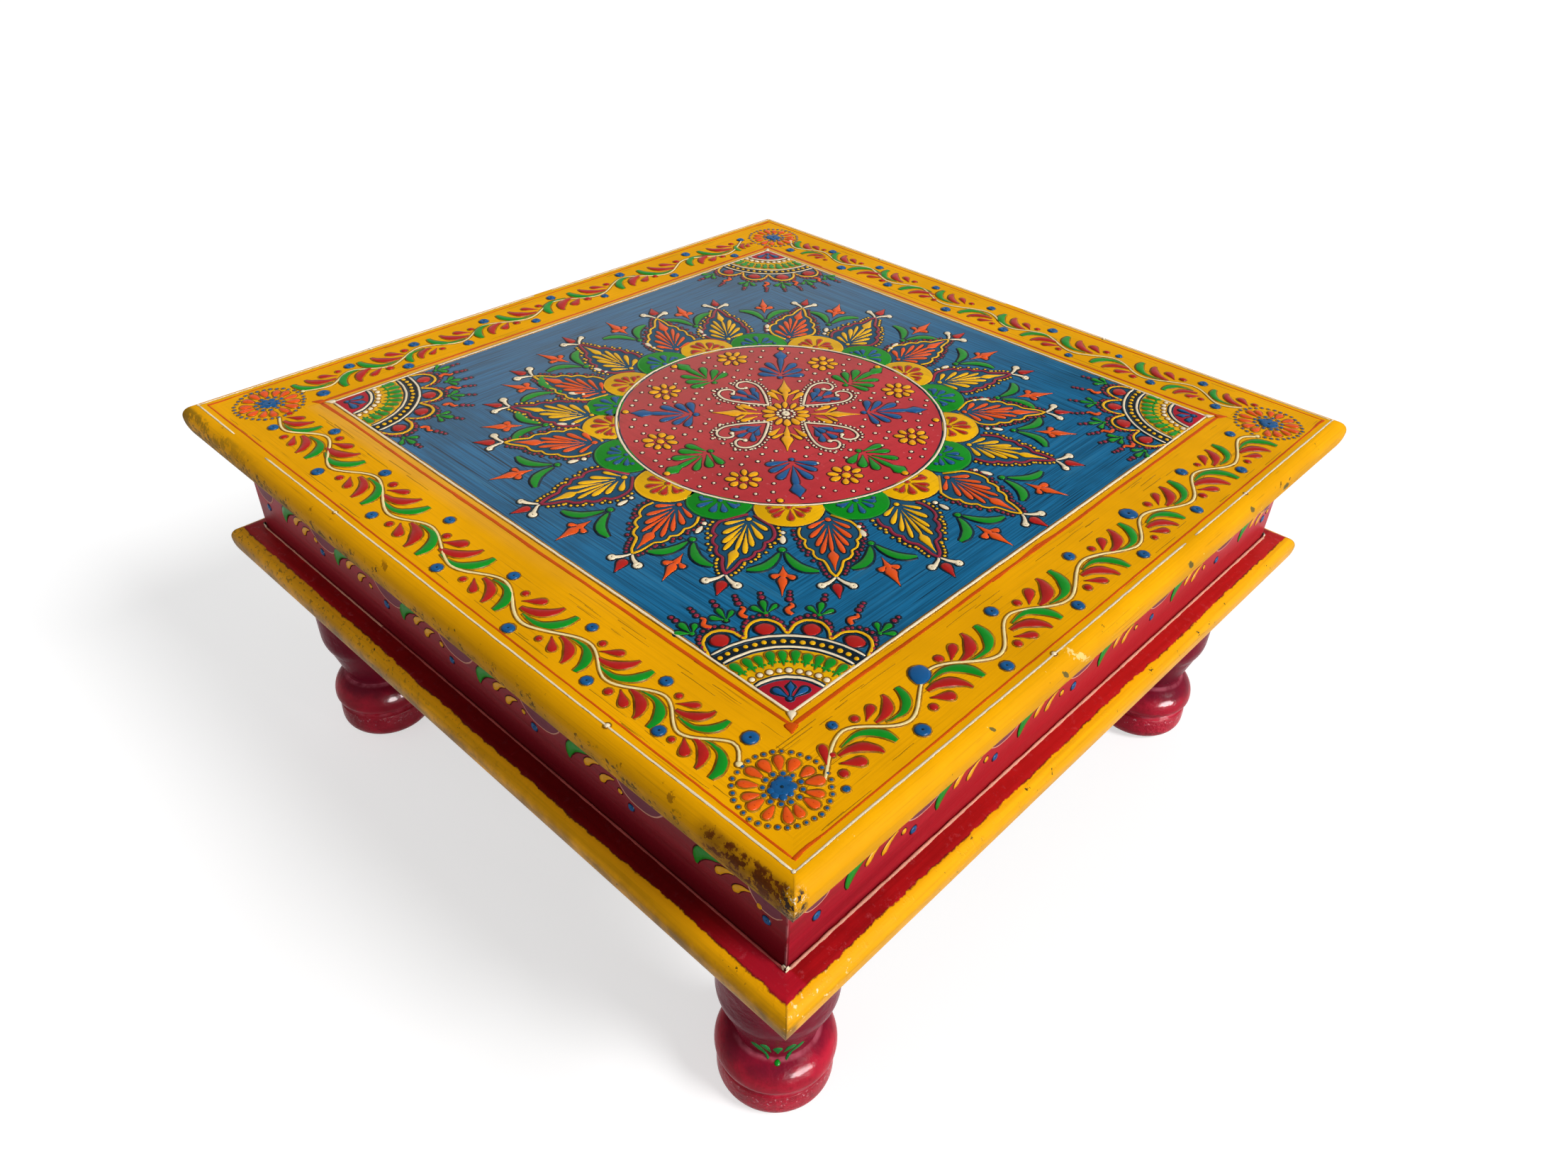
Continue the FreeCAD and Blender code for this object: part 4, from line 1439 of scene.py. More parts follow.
def make_medallion():
    middle = disc_middle()
    rim = mm("disc_radius")
    sheet = Sheet("medallion", 14, "wash on_disc")
    sheet.patch(arc(middle, rim, 0, FULL_TURN, 3.0)[:-1], "flat disc")
    sheet.work(sheet.coat, "wash on_blue")
    sheet.line(arc(middle, rim, 0, FULL_TURN, 2.4)[:-1], mm("bead_width"), "cream", closed=True)
    sheet.wash = "wash on_disc"

    # Round spots that the scattered dots keep clear of: middle and radius
    taken = []
    centre = middle + Vector((0.0, 2.7))
    sheet.dot(centre, 1.6, "cream", shape="button")
    sheet.ring(centre, 3.1, 12, 0.7, "cream")
    for k in range(14):
        reach = 8.8 + sheet.near(0.3)
        sheet.ray(centre, 4.3, reach, 8 + k * FULL_TURN / 14, 2.7, "yellow", shape="petal", height=0.42)

    for k in range(4):
        # Yellow palmettes stand on the diagonals and white hearts on the axes
        at = frame_at(centre, 45 + 90 * k)
        motif(sheet, at, YELLOW_PALMETTE)
        taken.append((at(19.0), 8.0))
        at = frame_at(centre, 90 * k)
        for side in (1, -1):
            make_heart(sheet, at, side)
        motif(sheet, at, HEART_FILL)
        taken.append((at(20.0), 11.0))

    for paint, angles, start, reach in PALMETTES:
        for angle in angles:
            at = frame_at(polar(middle, start, angle), angle)
            sheet.dot(at(0), 1.15, paint)
            spray(sheet, at, PALMETTE_DROPS, paint)
            sheet.drop(at(4.5), at(reach * 0.72), 2.6, paint)
            sheet.drop(at(reach * 0.5), at(reach), 5.0, paint, shape="spear", height=0.42)
            taken += [(at(7.0), 9.0), (at(17.0), 4.5)]

    for radius, angle in FLOWERS:
        place = polar(middle, radius, angle)
        sheet.dot(place, 1.65, "yellow")
        start = sheet.dice.uniform(0, 45)
        for k in range(8):
            sheet.ray(place, 2.5, 6.1, start + 45 * k, 2.7, "yellow", shape="petal", height=0.42)
        taken.append((place, 7.4))

    for k in range(8):
        place = polar(middle, rim - 2.9, 45 * k + 1.5 * (-1) ** k)
        sheet.dot(place, 1.3, "yellow")
        taken.append((place, 2.4))

    # White dots stand in the space that is left
    rows = int(rim / SCATTER_PITCH) + 1
    for row in range(-rows, rows + 1):
        for column in range(-rows, rows + 1):
            x = (column + 0.5 * (row % 2)) * SCATTER_PITCH + sheet.near(0.9)
            y = row * SCATTER_PITCH * 0.87 + sheet.near(0.9)
            place = middle + Vector((x, y))
            inside = (place - middle).length <= rim - 2.4 and (place - centre).length >= 12
            if inside and all((place - spot).length >= radius for spot, radius in taken):
                sheet.dot(place, 0.66 + sheet.near(0.08), "cream")
    sheet.laid(on_top)


# The sun of lobes and petals round the medallion

LOBE_ANGLES = (100.2, 80.7, 60.3, 39.1, 19.2, -2.3, -22.9, -43.9, -65.3, -84.2, -106.6, -126.8, -140.6, -157.7,
               -177.8, 162.6 - 360, 142.3 - 360, 120.4 - 360)
PETAL_ANGLES = (88.8, 67.2, 48.5, 28.1, 5.5, -17.2, -36.8, -55.9, -73.3, -97.5, -122.6, -137.6, -152.3, -170.8,
                166 - 360, 150 - 360, 128.3 - 360, 109.5 - 360)
SPRIG_ANGLES = (97.1, 77.7, 56.5, 39.6, 16.1, -4.2, -27.1, -46, -65.1, -86.5, -109.8, -129.2, -146.6, -161.9,
                176.8, 158.7, 138.1, 119.8)
LOBE_HEIGHT = 12.3
LOBE_WIDTH = 1.02
# Lobes by turns: their coat, the line round it, the strokes on it and the wash of these
LOBE_PAINTS = (
    ("flat green", "green", "dot_blue", "wash on_green"),
    ("flat yellow", "lemon", "stroke_red", "wash on_yellow"),
)
PETAL_BASE = 66.4
PETAL_TIP = 99.0
PETAL_LENGTH = 32.5
PETAL_SIDE = ((0, 1), (1.2, 4.2), (4.4, 7.8), (8.8, 9.6), (12.4, 9.3), (13.8, 7.9), (15.6, 8.2), (18, 7.6),
              (19.4, 5.9), (21.2, 6), (23.4, 4.9), (24.6, 3.1), (27.6, 2.2), (30.4, 1.3), (32.5, 0))
# Petals by turns: their paint, the line round them, its width and the dots outside it
PETAL_PAINTS = (("orange", "lemon", 1.0, "deep_red"), ("lemon", "deep_red", 1.15, "lemon"))
TIP_COMMA = ((33.0, 0.3), (34.4, 1.3), (35.8, 2.8), (36.9, 4.5))
SPRIG_LEAF = ((86.0, 0.9), (89.6, 2.4), (92.8, 4.6), (94.6, 7.6), (95.2, 10.9))
PETAL_FILL = ((2.4, 1.05), (3.2, 1.3, 7, 6.6, 2.1), (5.2, 1.1, 12.2, 6.2, 2.15), (7.6, 1, 16.8, 4.8, 2.1),
              (10.4, 0.8, 20.8, 3.3, 1.8), (6, 20, 1.5), (19, 30, 3.9, TALL_HEAD))
SPRIG_STEM = (("cream", (75.2, 0.95), (77, 80.9, 2.1, {"shape": "petal"})), ("green", (84.6, 1.15)))
SPRIG_FLOWER = (
    ("orange", (99.4, 92.8, 2.7, {"shape": "head"}), (97, 107.4, 3.7, TALL_HEAD), (97, 0.3, 99, 3.5, 2.5)),
)


def make_lobe_ring():
    middle = disc_middle()
    rim = mm("disc_radius")
    sheet = Sheet("lobe_ring", 15, "wash on_blue")
    for k, angle in enumerate(LOBE_ANGLES):
        paint, border, strokes, wash = LOBE_PAINTS[k % 2]
        at = frame_at(polar(middle, rim - 0.6, angle), angle)
        wide = math.radians(lobe_half(k)) * rim * LOBE_WIDTH
        turns = [math.pi * (step / 18 - 0.5) for step in range(19)]
        bow = [at(LOBE_HEIGHT * math.cos(turn) ** 0.8, wide * math.sin(turn)) for turn in turns]
        sheet.work(0.0, "wash on_blue")
        sheet.patch([at(-0.5, -wide), *bow, at(-0.5, wide)], paint, sheet.coat * 1.5)
        sheet.line(bow, 0.9, border, share=0.5, shake=0.1)
        sheet.work(sheet.coat * 1.5, wash)
        base = at(1.2)
        for step in (-2, -1, 0, 1, 2):
            turn = angle + step * 33 + sheet.near(5)
            reach = 8.6 - 0.7 * abs(step) + sheet.near(0.5)
            sheet.ray(base, 2.6, reach, turn, 2.3, strokes, height=0.34)
        for side in (1, -1):
            sheet.dot(at(2.4, 6.4 * side), 0.8, strokes, height=0.3)
        sheet.dot(at(1.9), 0.9, strokes, height=0.3)
    sheet.laid(on_top)


def junction(k):
    """The angle at which two lobes meet."""
    after = LOBE_ANGLES[(k + 1) % len(LOBE_ANGLES)]
    if k == len(LOBE_ANGLES) - 1:
        after -= FULL_TURN
    return (LOBE_ANGLES[k] + after) / 2


def lobe_half(k):
    """Half of the angle that a lobe takes."""
    count = len(LOBE_ANGLES)
    before = LOBE_ANGLES[k - 1] + (FULL_TURN if k == 0 else 0)
    after = LOBE_ANGLES[(k + 1) % count] - (FULL_TURN if k == count - 1 else 0)
    return (before - after) / 4


def outside_lobes(point, gap):
    """Whether a point of the top lies clear of the ring of lobes."""
    away = Vector(point) - disc_middle()
    angle = math.degrees(math.atan2(away.y, away.x))
    for k, lobe in enumerate(LOBE_ANGLES):
        aside = (angle - lobe + FULL_TURN / 2) % FULL_TURN - FULL_TURN / 2
        share = abs(aside) / (lobe_half(k) * LOBE_WIDTH)
        if share < 1 and away.length < mm("disc_radius") + LOBE_HEIGHT * (1 - share * share) ** 0.4 + gap:
            return False
    return True


def make_petal_ring():
    middle = disc_middle()
    sheet = Sheet("petal_ring", 16, "wash on_blue")
    for k, angle in enumerate(PETAL_ANGLES):
        paint, border, width, dots = PETAL_PAINTS[k % 2]
        base = polar(middle, PETAL_BASE, junction(k))
        way = polar(middle, PETAL_TIP, angle) - base
        at = frame_at(base, math.degrees(math.atan2(way.y, way.x)), way.length / PETAL_LENGTH)
        outline = [at(u, -v) for u, v in PETAL_SIDE] + [at(u, v) for u, v in PETAL_SIDE[-2::-1]]
        sheet.patch(outline, "flat ground", 0.04)
        for side in (1, -1):
            shaken = [(u, v + sheet.near(0.15)) for u, v in PETAL_SIDE]
            path = smooth_path([at(u, v * side) for u, v in shaken], 1.0)
            path = [point for point in path if outside_lobes(point, 0.3)]
            sheet.line(path, width, border, shake=0.04, tapered=False)
            walk = smooth_path(shaken, 1.65)
            for before, here, after in zip(walk, walk[1:], walk[2:]):
                ahead = (after - before).normalized()
                place = here + Vector((-ahead.y, ahead.x)) * 1.7
                spot = at(place.x, place.y * side)
                if place.x < 32.6 and outside_lobes(spot, 0.9):
                    sheet.dot(spot, 0.6, dots)
        motif(sheet, at, [(paint, *PETAL_FILL)])
        # Two white commas and a red drop stand on the tip
        for side in (1, -1):
            points = [at(u, v * side) for u, v in TIP_COMMA]
            sheet.stroke(points, (0.8, 1.1, 1.5, 2.0), "cream", pitch=0.7)
            sheet.dot(points[-1], 1.45, "cream", shape="button", height=0.45)
        sheet.drop(at(42.6), at(36.0), 3.7, "stroke_red")
    sheet.laid(on_top)


def make_petal_sprigs():
    middle = disc_middle()
    sheet = Sheet("petal_sprigs", 17, "wash on_blue")
    for angle in SPRIG_ANGLES:
        at = frame_at(middle, angle)
        motif(sheet, at, SPRIG_STEM)
        for side in (1, -1):
            points = [at(u, v * side) for u, v in SPRIG_LEAF]
            sheet.stroke(points, (0.9, 2.6, 3.5, 3.2, 1.3), "green", pitch=0.8, share=0.2)
        motif(sheet, at, SPRIG_FLOWER)
    sheet.laid(on_top)


# The fans in the corners of the field

FAN_SPRIGS = (5.6, 31.8, 53.5, 70.0, 85.8)
FAN_SQUIGGLES = (18.4, 43.5, 62.0, 78.0)
SQUIGGLE = ((0.2, -0.6), (1.0, 0.4), (2.2, 0.9), (3.2, 0.1), (4.2, -0.7), (5.4, 0.0))
FAN_HEART = (("dot_blue", (4.6, 0.9), (5.6, 11, 2.3, {"shape": "spear"}), (5.2, 1, 8.6, 4.4, 2)),)
FAN_SPRIG = (
    ("green", (0.6, 0.8), (1.2, 6.4, 2.1), (0.9, 0.6, 3.8, 3.6, 1.9)), ("deep_red", (8, 0.85), (10, 0.65)),
)
FAN_BANDS = ((0, 12.6, "flat sector"), (13.0, 25.2, "flat yellow"), (25.2, 29.8, "flat black"))
FAN_LINES = ((12.9, 1.1), (25.2, 0.95), (29.9, 0.95))
FAN_INSET = 0.4
FAN_RIM = 30.4
FAN_STEP = 22.5


def sector(corner, inner, outer, start):
    """Outline of a quarter band."""
    inward = arc(corner, inner, start + 90, start, 2.0) if inner else [Vector(corner)]
    return arc(corner, outer, start, start + 90, 2.0) + inward


def fan_bow(corner, low, height, power):
    """Points of one of the four bows at the rim of a fan."""
    return [
        polar(corner, FAN_RIM + height * math.sin(math.pi * s / 8) ** power, low + FAN_STEP * s / 8) for s in range(9)
    ]


def make_corner_fans():
    sheet = Sheet("corner_fans", 18, "wash on_blue")
    corners = field_corners(-FAN_INSET)
    for k in (1, 2, 3, 0):
        corner, start = corners[k], 90 * k
        sheet.work(0.0, "wash on_blue")
        for inner, outer, paint in FAN_BANDS:
            sheet.patch(sector(corner, inner, outer, start), paint)
        sheet.level = sheet.coat
        for radius, width in FAN_LINES:
            sheet.line(arc(corner, radius, start + 1, start + 89, 1.8), width, "cream")
        at = frame_at(corner, start + 45)
        motif(sheet, at, FAN_HEART)
        sheet.wash = "wash on_yellow"
        for step in range(9):
            sheet.dot(polar(corner, 15.4, start + 5 + 10 * step), 1.0, "cream")
        for step in range(10):
            angle = start + 4.5 + 9 * step
            sheet.ray(corner, 17.6, 23.4 + sheet.near(0.3), angle, 2.9, "green")
            for turn in (-2.6, 2.6):
                sheet.dot(polar(corner, 19.0 + sheet.near(0.3), angle + turn), 0.55, "green", wash=False)
        sheet.wash = None
        for step in range(16):
            sheet.dot(polar(corner, 27.5 + sheet.near(0.15), start + 3 + 5.6 * step), 0.9, "lemon")
        sheet.work(0.0, "wash on_blue")
        for step in range(4):
            low = start + FAN_STEP * step
            sheet.line(smooth_path(fan_bow(corner, low, 7.3, 0.62), 1.3), 1.1, "lemon")
            dome = polar(corner, 32.6, low + 11.25)
            tip = polar(dome, 3.2, low + 11.25)
            sheet.drop(polar(corner, 30.8, low + 11.25), tip, 6.0, "stroke_red", shape="petal", height=0.42)
            for place in smooth_path(fan_bow(corner, low, 9.4, 0.55), 1.75)[1:-1]:
                sheet.dot(place, 0.68, "deep_red")
        for angle in FAN_SPRIGS:
            at = frame_at(polar(corner, 39.8, start + angle), start + angle)
            motif(sheet, at, FAN_SPRIG)
        for angle in FAN_SQUIGGLES:
            at = frame_at(polar(corner, 39.4, start + angle), start + angle)
            sheet.stroke([at(u, v) for u, v in SQUIGGLE], (1.3, 1.7, 1.6, 1.5, 1.3, 0.8), "orange", pitch=0.5)
            for u, radius in ((7.0, 0.95), (9.0, 0.75), (10.6, 0.6)):
                sheet.dot(at(u, 0.2), radius, "deep_red")
    sheet.laid(on_top)


# Swags on the four aprons: blue dots and green leaves by their place along the side

SWAG_DOTS = ((-130.8, -90.8, -47.2, -8.3, 35.5, 80, 132.5), (-128.7, -88.8, -50, -6.7, 44, 93, 132))
SWAG_LEAVES = ((-117, -79, -36, 8, 53, 107), (-116, -77.5, -36.7, 9.7, 59, 112))
SWAG_LOW = 113.2
SWAG_HIGH = 137.3
SWAG_DOT = 110.2
SWAG_LEAF = (((12.0, 119.8), (7.6, 118.2), (3.6, 117.2), (1.0, 115.4), (-0.2, 112.9), (-0.4, 110.2)),
             (0.5, 2.0, 3.8, 4.3, 3.3, 0.9))
SWAG_COMMAS = (
    (((14.2, 117.7), (12.0, 117.2), (9.8, 115.9), (8.2, 114.1), (7.5, 112.8)), (0.6, 1.4, 2.3, 2.6, 0.8)),
    (((20.0, 116.2), (17.8, 115.5), (15.8, 114.2), (14.4, 112.4), (13.8, 111.2)), (0.6, 1.4, 2.3, 2.6, 0.8)),
)
SWAG_SPOT = (22.8, 113.5)
SIDE_DROP = (0.0, 2.2)
FOOT_LINE = 97.15
FOOT_OUT = (0.55, 0.85)
FOOT_WIDTH = (0.7, 0.95)
FOOT_STEPS = 150
FOOT_BRIGHT = 46
SWAG_END = 138.6


def make_swag(sheet, place, lower):
    """One swag with its dusty fill and the blue dot under it."""
    half, shift = (17.0, 4.0) if abs(place) < 120 else (12.0, 0.0)
    span = []
    for step in range(15):
        turn = step / 14 * 2 - 1
        x = place + shift + turn * half
        if abs(x) <= SWAG_END:
            span.append((x, SWAG_LOW - lower * 0.3 + (SWAG_HIGH - SWAG_LOW) * abs(turn) ** 2.75))
    roof = [(x, min(z + 9.5 * (1 - ((x - place - shift) / half) ** 2), SWAG_HIGH)) for x, z in span]
    sheet.level = 0.0
    sheet.patch(span + roof[::-1][1:-1], "flat mauve", 0.1)
    sheet.line(smooth_path(span, 1.6), 0.55, "flat rose", share=0.5, wash=False, shake=0.04)
    sheet.dot((place, SWAG_DOT - lower * 0.7 + sheet.near(0.5)), 1.55, "dot_blue", shape="button", height=0.36)


def make_swag_leaf(sheet, place, lower):
    """One green leaf with its two yellow commas and its spot."""
    points, widths = SWAG_LEAF
    sheet.stroke([(place + u, v - lower) for u, v in points], widths, "green", pitch=0.8, share=0.2)
    for points, widths in SWAG_COMMAS:
        slip = sheet.near(0.6)
        sheet.stroke([(place + u + slip, v - lower) for u, v in points], widths, "yellow", pitch=0.8, share=0.28)
    sheet.dot((place + SWAG_SPOT[0], SWAG_SPOT[1] - lower), 1.15, "yellow", height=0.34)


def make_apron_swags():
    for quarter, name in enumerate(("front", "right", "back", "left")):
        sheet = Sheet("apron_swags_" + name, 30 + quarter, "wash on_enamel")
        lower = SIDE_DROP[quarter % 2]
        for place in SWAG_DOTS[quarter % 2]:
            make_swag(sheet, place, lower)
        for place in SWAG_LEAVES[quarter % 2]:
            make_swag_leaf(sheet, place, lower)
        # The line along the foot; from the middle of the front on it lies in shade and takes a darker copy of its
        # paint, as painted shade
        sheet.level = FOOT_OUT[quarter % 2]
        foot = [(-138.9 + k * 277.8 / FOOT_STEPS, FOOT_LINE + sheet.near(0.06)) for k in range(FOOT_STEPS + 1)]
        widths = [FOOT_WIDTH[quarter % 2] * (1 + sheet.near(0.22)) for _ in foot]
        bright = FOOT_BRIGHT if quarter == 0 else FOOT_STEPS
        sheet.line(foot[:bright + 1], widths[:bright + 1], "flat rose", share=1.0, shake=0.06, wash=False)
        if bright < FOOT_STEPS:
            sheet.line(foot[bright:], widths[bright:], "flat dusk", share=1.0, shake=0.06, wash=False)
        for end in (-1, 1):
            for _ in range(4):
                spot = ((139.4 + sheet.near(0.6)) * end, FOOT_LINE + 0.7 + sheet.near(0.8))
                sheet.dot(spot, 0.62, "cream", wash=False)
        sheet.laid(on_apron(quarter))


# Green fans on the legs, wrapped round the turning

LEG_FAN = ((0.0, 3.4, 0.2, 9.5, 3.2), (3.4, 0.3, 9.6, 9.5, 3.4), (2.6, 4.6, 5.6, 11.0, 3.2))
LEG_DOT_HEIGHT = 25.7
LEG_REACH = 0.06
LEG_RADIUS = 0.0185


def on_leg(side):
    """Wraps a sheet round a leg: across it, up from the floor and out from its face."""
    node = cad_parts["leg_" + side]
    low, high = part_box("leg_" + side)
    middle = (low + high) / 2
    surface = BVHTree.FromPolygons([v.co for v in node.data.vertices], [p.vertices for p in node.data.polygons])
    facing = math.atan2(middle.y, middle.x)

    def place(co):
        result = np.zeros_like(co)
        for k, (u, v, w) in enumerate(co * MM):
            turn = facing + u / LEG_RADIUS
            way = Vector((math.cos(turn), math.sin(turn), 0.0))
            axis = Vector((middle.x, middle.y, v))
            hit, normal, _, _ = surface.ray_cast(axis + way * LEG_REACH, -way)
            if hit is None:
                raise RuntimeError("the leg has no surface at the height of its fan")
            result[k] = hit + normal * w
        return result

    return place


def make_leg_fans():
    for quarter, side in enumerate(LEG_SIDES):
        sheet = Sheet("leg_fan_" + side, 40 + quarter)
        sheet.stamp("dot", (0, LEG_DOT_HEIGHT), 0.0, (2.6, 1.1, 0.5), "green")
        for u0, v0, u1, v1, width in LEG_FAN:
            for way in (1, -1) if u1 else (1,):
                start, end = (u0 * way, LEG_DOT_HEIGHT + v0), (u1 * way, LEG_DOT_HEIGHT + v1)
                sheet.drop(start, end, width, "flat faded", height=0.24)
        sheet.laid(on_leg(side))


# The CAD pieces and the stage


def paint_nodes(prefixes, material):
    """Gives every CAD piece whose name starts so its finish, and fails where there is none."""
    found = [o for name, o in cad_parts.items() if name.startswith(prefixes)]
    if not found:
        raise RuntimeError(f"no piece is named {prefixes}")
    for piece in found:
        if piece.data.materials:
            for slot in range(len(piece.data.materials)):
                piece.data.materials[slot] = material
        else:
            piece.data.materials.append(material)


def make_finishes():
    scene = bpy.context.scene
    colours = scene.bajot_colours
    paint_nodes(("top_",), top_material(scene.bajot_sizes, colours))
    paint_nodes(("apron_",), apron_material(colours))
    paint_nodes(("base_rail_",), base_material(colours))
    paint_nodes(("leg_",), leg_material(colours))
    paint_nodes(("cleat_front", "cleat_back", "cleat_left", "cleat_right", "corner_block_"), wood_material(colours))
    paint_nodes(("base_screws", "block_screws", "cleat_screws"), screw_material())


FLOOR_HALF = 3.0
FLOOR_STEPS = 12
FLOOR_SHINE = 0.6
FLOOR_GAP = 0.0001
# Lamps by their name in the sidebar: the side where they stand, and how wide they are in degrees
LAMPS = {
    "key": ((1.0, 0.25, 0.9), 20),
    "side": ((0.98, 0.2, 0.12), 8),
    "fill": ((-0.4, -1.0, 0.8), 60),
    "gleam": ((1.0, -0.1, 0.06), 34),
}
SENSOR_WIDTH = 36.0
CLIP = (0.01, 50.0)


def seen_directly(tree):
    """1 for rays that the camera or a gloss sends, 0 for the light that spreads."""
    path = add(tree, "ShaderNodeLightPath").outputs
    seen = calc("MAXIMUM", path["Is Camera Ray"], path["Is Glossy Ray"])
    return calc("MAXIMUM", seen, path["Is Transmission Ray"])


def make_floor():
    spots = [-FLOOR_HALF + 2 * FLOOR_HALF * k / FLOOR_STEPS for k in range(FLOOR_STEPS + 1)]
    vertices = [(x, y, CAD_BOX[0][2] - FLOOR_GAP) for y in spots for x in spots]
    floor = linked("floor", plain_mesh("floor", vertices, [], quads(len(spots), len(spots))))
    material, shader, place = new_material("pale_floor")
    shine = times(seen_directly(place), FLOOR_SHINE)
    white = add(place, "ShaderNodeCombineXYZ", {0: shine, 1: shine, 2: shine})
    soft = over("BCBCBC", "C0C0C0", noise(place, 3.0))
    for key, value in (("Base Color", soft), ("Emission Color", white), ("Emission Strength", 1.0),
                       ("Roughness", 0.9), ("Specular IOR Level", 0.0)):
        feed(shader, key, value)
    floor.data.materials.append(material)


def make_lamp(name, place, angle, strength):
    """A broad soft lamp that shines on the table from the side where it stands."""
    lamp = bpy.data.lights.new(name, "SUN")
    lamp.angle = math.radians(angle)
    lamp.energy = strength
    made = linked(name, lamp)
    made.location = place
    made.rotation_euler = (-Vector(place)).to_track_quat("-Z", "Y").to_euler()
    return made


def make_world(scene, sky):
    """A white world that lights the table with less than it shows."""
    world = bpy.data.worlds.new("studio")
    world.use_nodes = True
    tree = world.node_tree
    tree.nodes.clear()
    level = spread(seen_directly(tree), sky, 1.0)
    shown = add(tree, "ShaderNodeBackground", {"Color": (1.0, 1.0, 1.0, 1.0), "Strength": level})
    add(tree, "ShaderNodeOutputWorld", {"Surface": shown})
    scene.world = world


def make_camera(scene, given):
    """The camera of the photo."""
    camera = bpy.data.cameras.new("camera")
    camera.lens = given.lens
    camera.sensor_width = SENSOR_WIDTH
    camera.sensor_fit = "HORIZONTAL"
    camera.clip_start, camera.clip_end = CLIP
    look = Vector(given.look).normalized()
    right = look.cross(Vector((0, 0, 1))).normalized()
    up = right.cross(look)
    turned_right = right * math.cos(given.roll) + up * math.sin(given.roll)
    turned_up = up * math.cos(given.roll) - right * math.sin(given.roll)
    body = linked("camera", camera)
    body.matrix_world = Matrix((*zip(turned_right, turned_up, -look, given.eye), (0, 0, 0, 1)))
    scene.camera = body


def make_stage():
    scene = bpy.context.scene
    given = scene.bajot_stage
    make_floor()
    for name, (place, angle) in LAMPS.items():
        lamp = make_lamp(name + "_lamp", place, angle, getattr(given, name))
        lamp.visible_diffuse = name != "gleam"
    make_world(scene, given.sky)
    make_camera(scene, given)
    scene.view_settings.view_transform = "Standard"


class BAJOT_OT_finishes(bpy.types.Operator):
    """Give the wooden pieces their enamel, bare wood and steel"""

    bl_idname = "bajot.finishes"
    bl_label = "Finishes"

    def execute(self, context):
        make_finishes()
        return {"FINISHED"}


class BAJOT_OT_border_lines(bpy.types.Operator):
    """Draw the white and orange lines of the border"""

    bl_idname = "bajot.border_lines"
    bl_label = "Border Lines"

    def execute(self, context):
        make_border_lines()
        return {"FINISHED"}


class BAJOT_OT_border_vines(bpy.types.Operator):
    """Draw the vines with their leaves and blue dots"""

    bl_idname = "bajot.border_vines"
    bl_label = "Border Vines"

    def execute(self, context):
        make_border_vines()
        return {"FINISHED"}


class BAJOT_OT_corner_rosettes(bpy.types.Operator):
    """Draw a rosette in each corner of the border"""

    bl_idname = "bajot.corner_rosettes"
    bl_label = "Corner Rosettes"

    def execute(self, context):
        make_corner_rosettes()
        return {"FINISHED"}


class BAJOT_OT_corner_fans(bpy.types.Operator):
    """Draw a fan in each corner of the blue field"""

    bl_idname = "bajot.corner_fans"
    bl_label = "Corner Fans"

    def execute(self, context):
        make_corner_fans()
        return {"FINISHED"}


class BAJOT_OT_medallion(bpy.types.Operator):
    """Paint the red disc with its hearts, palmettes and flowers"""

    bl_idname = "bajot.medallion"
    bl_label = "Medallion"

    def execute(self, context):
        make_medallion()
        return {"FINISHED"}


class BAJOT_OT_lobe_ring(bpy.types.Operator):
    """Paint the ring of green and yellow lobes"""

    bl_idname = "bajot.lobe_ring"
    bl_label = "Lobe Ring"

    def execute(self, context):
        make_lobe_ring()
        return {"FINISHED"}


class BAJOT_OT_petal_ring(bpy.types.Operator):
    """Draw the ring of scalloped petals"""

    bl_idname = "bajot.petal_ring"
    bl_label = "Petal Ring"

    def execute(self, context):
        make_petal_ring()
        return {"FINISHED"}


class BAJOT_OT_petal_sprigs(bpy.types.Operator):
    """Draw the sprigs between the petals"""

    bl_idname = "bajot.petal_sprigs"
    bl_label = "Petal Sprigs"

    def execute(self, context):
        make_petal_sprigs()
        return {"FINISHED"}


class BAJOT_OT_apron_swags(bpy.types.Operator):
    """Draw the swags and leaves of the four aprons"""

    bl_idname = "bajot.apron_swags"
    bl_label = "Apron Swags"

    def execute(self, context):
        make_apron_swags()
        return {"FINISHED"}


class BAJOT_OT_leg_fans(bpy.types.Operator):
    """Draw the green fan of each leg"""

    bl_idname = "bajot.leg_fans"
    bl_label = "Leg Fans"

    def execute(self, context):
        make_leg_fans()
        return {"FINISHED"}


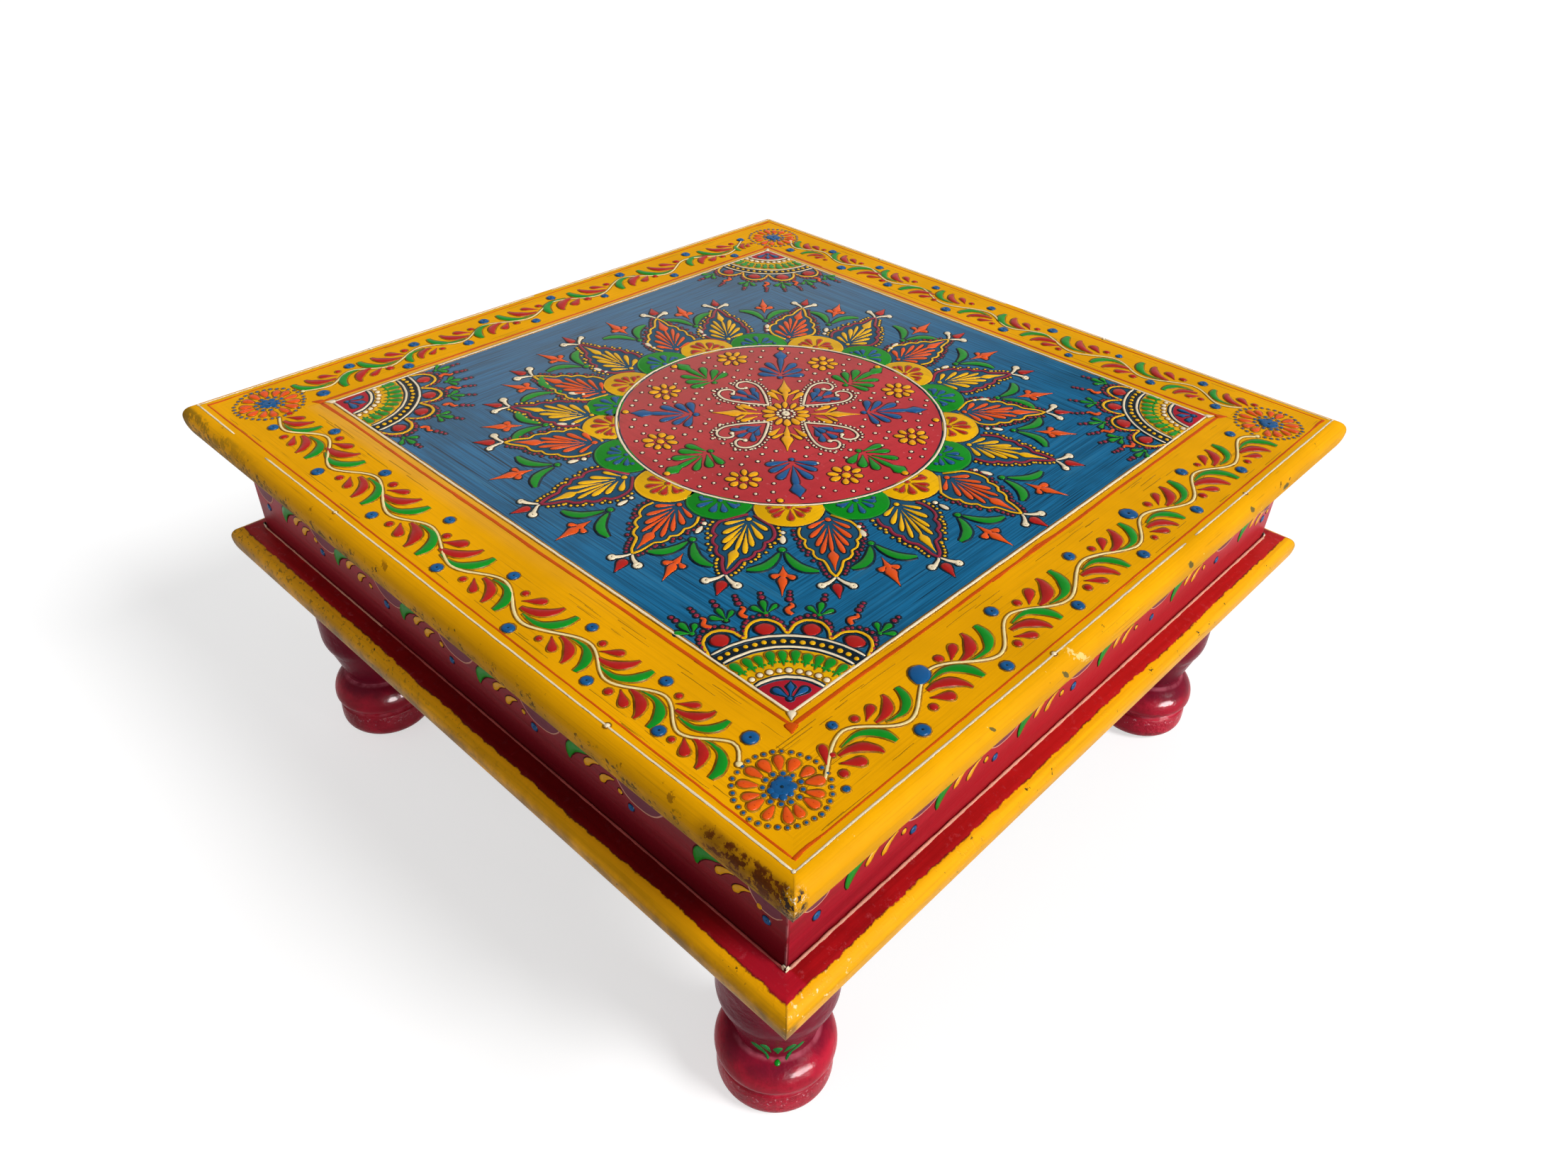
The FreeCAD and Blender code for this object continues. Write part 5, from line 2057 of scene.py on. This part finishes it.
class BAJOT_OT_stage(bpy.types.Operator):
    """Set the pale floor, the soft lamps and the camera"""

    bl_idname = "bajot.stage"
    bl_label = "Stage"

    def execute(self, context):
        make_stage()
        return {"FINISHED"}


OPERATORS = (
    BAJOT_OT_stage,
    BAJOT_OT_finishes,
    BAJOT_OT_border_lines,
    BAJOT_OT_border_vines,
    BAJOT_OT_corner_rosettes,
    BAJOT_OT_corner_fans,
    BAJOT_OT_medallion,
    BAJOT_OT_lobe_ring,
    BAJOT_OT_petal_ring,
    BAJOT_OT_petal_sprigs,
    BAJOT_OT_apron_swags,
    BAJOT_OT_leg_fans,
)


class BAJOT_PT_sidebar(bpy.types.Panel):
    """Lists the steps that dress the table"""

    bl_idname = "BAJOT_PT_sidebar"
    bl_label = "Bajot"
    bl_space_type = "VIEW_3D"
    bl_region_type = "UI"
    bl_category = "Bajot"

    def draw(self, context):
        scene = context.scene
        for group in (scene.bajot_sizes, scene.bajot_colours, scene.bajot_stage):
            box = self.layout.box()
            for name in group.__annotations__:
                box.prop(group, name)
        for operator in OPERATORS:
            self.layout.operator(operator.bl_idname)


CLASSES = (BajotSizes, BajotColours, BajotStage, *OPERATORS, BAJOT_PT_sidebar)


def register():
    for kind in CLASSES:
        bpy.utils.register_class(kind)
    bpy.types.Scene.bajot_sizes = PointerProperty(type=BajotSizes)
    bpy.types.Scene.bajot_colours = PointerProperty(type=BajotColours)
    bpy.types.Scene.bajot_stage = PointerProperty(type=BajotStage)


def unregister():
    del bpy.types.Scene.bajot_sizes
    del bpy.types.Scene.bajot_colours
    del bpy.types.Scene.bajot_stage
    for kind in reversed(CLASSES):
        bpy.utils.unregister_class(kind)


def main():
    register()
    bpy.ops.bajot.stage()
    bpy.ops.bajot.finishes()
    bpy.ops.bajot.border_lines()
    bpy.ops.bajot.border_vines()
    bpy.ops.bajot.corner_rosettes()
    bpy.ops.bajot.corner_fans()
    bpy.ops.bajot.medallion()
    bpy.ops.bajot.lobe_ring()
    bpy.ops.bajot.petal_ring()
    bpy.ops.bajot.petal_sprigs()
    bpy.ops.bajot.apron_swags()
    bpy.ops.bajot.leg_fans()


if __name__ == "__main__":
    main()
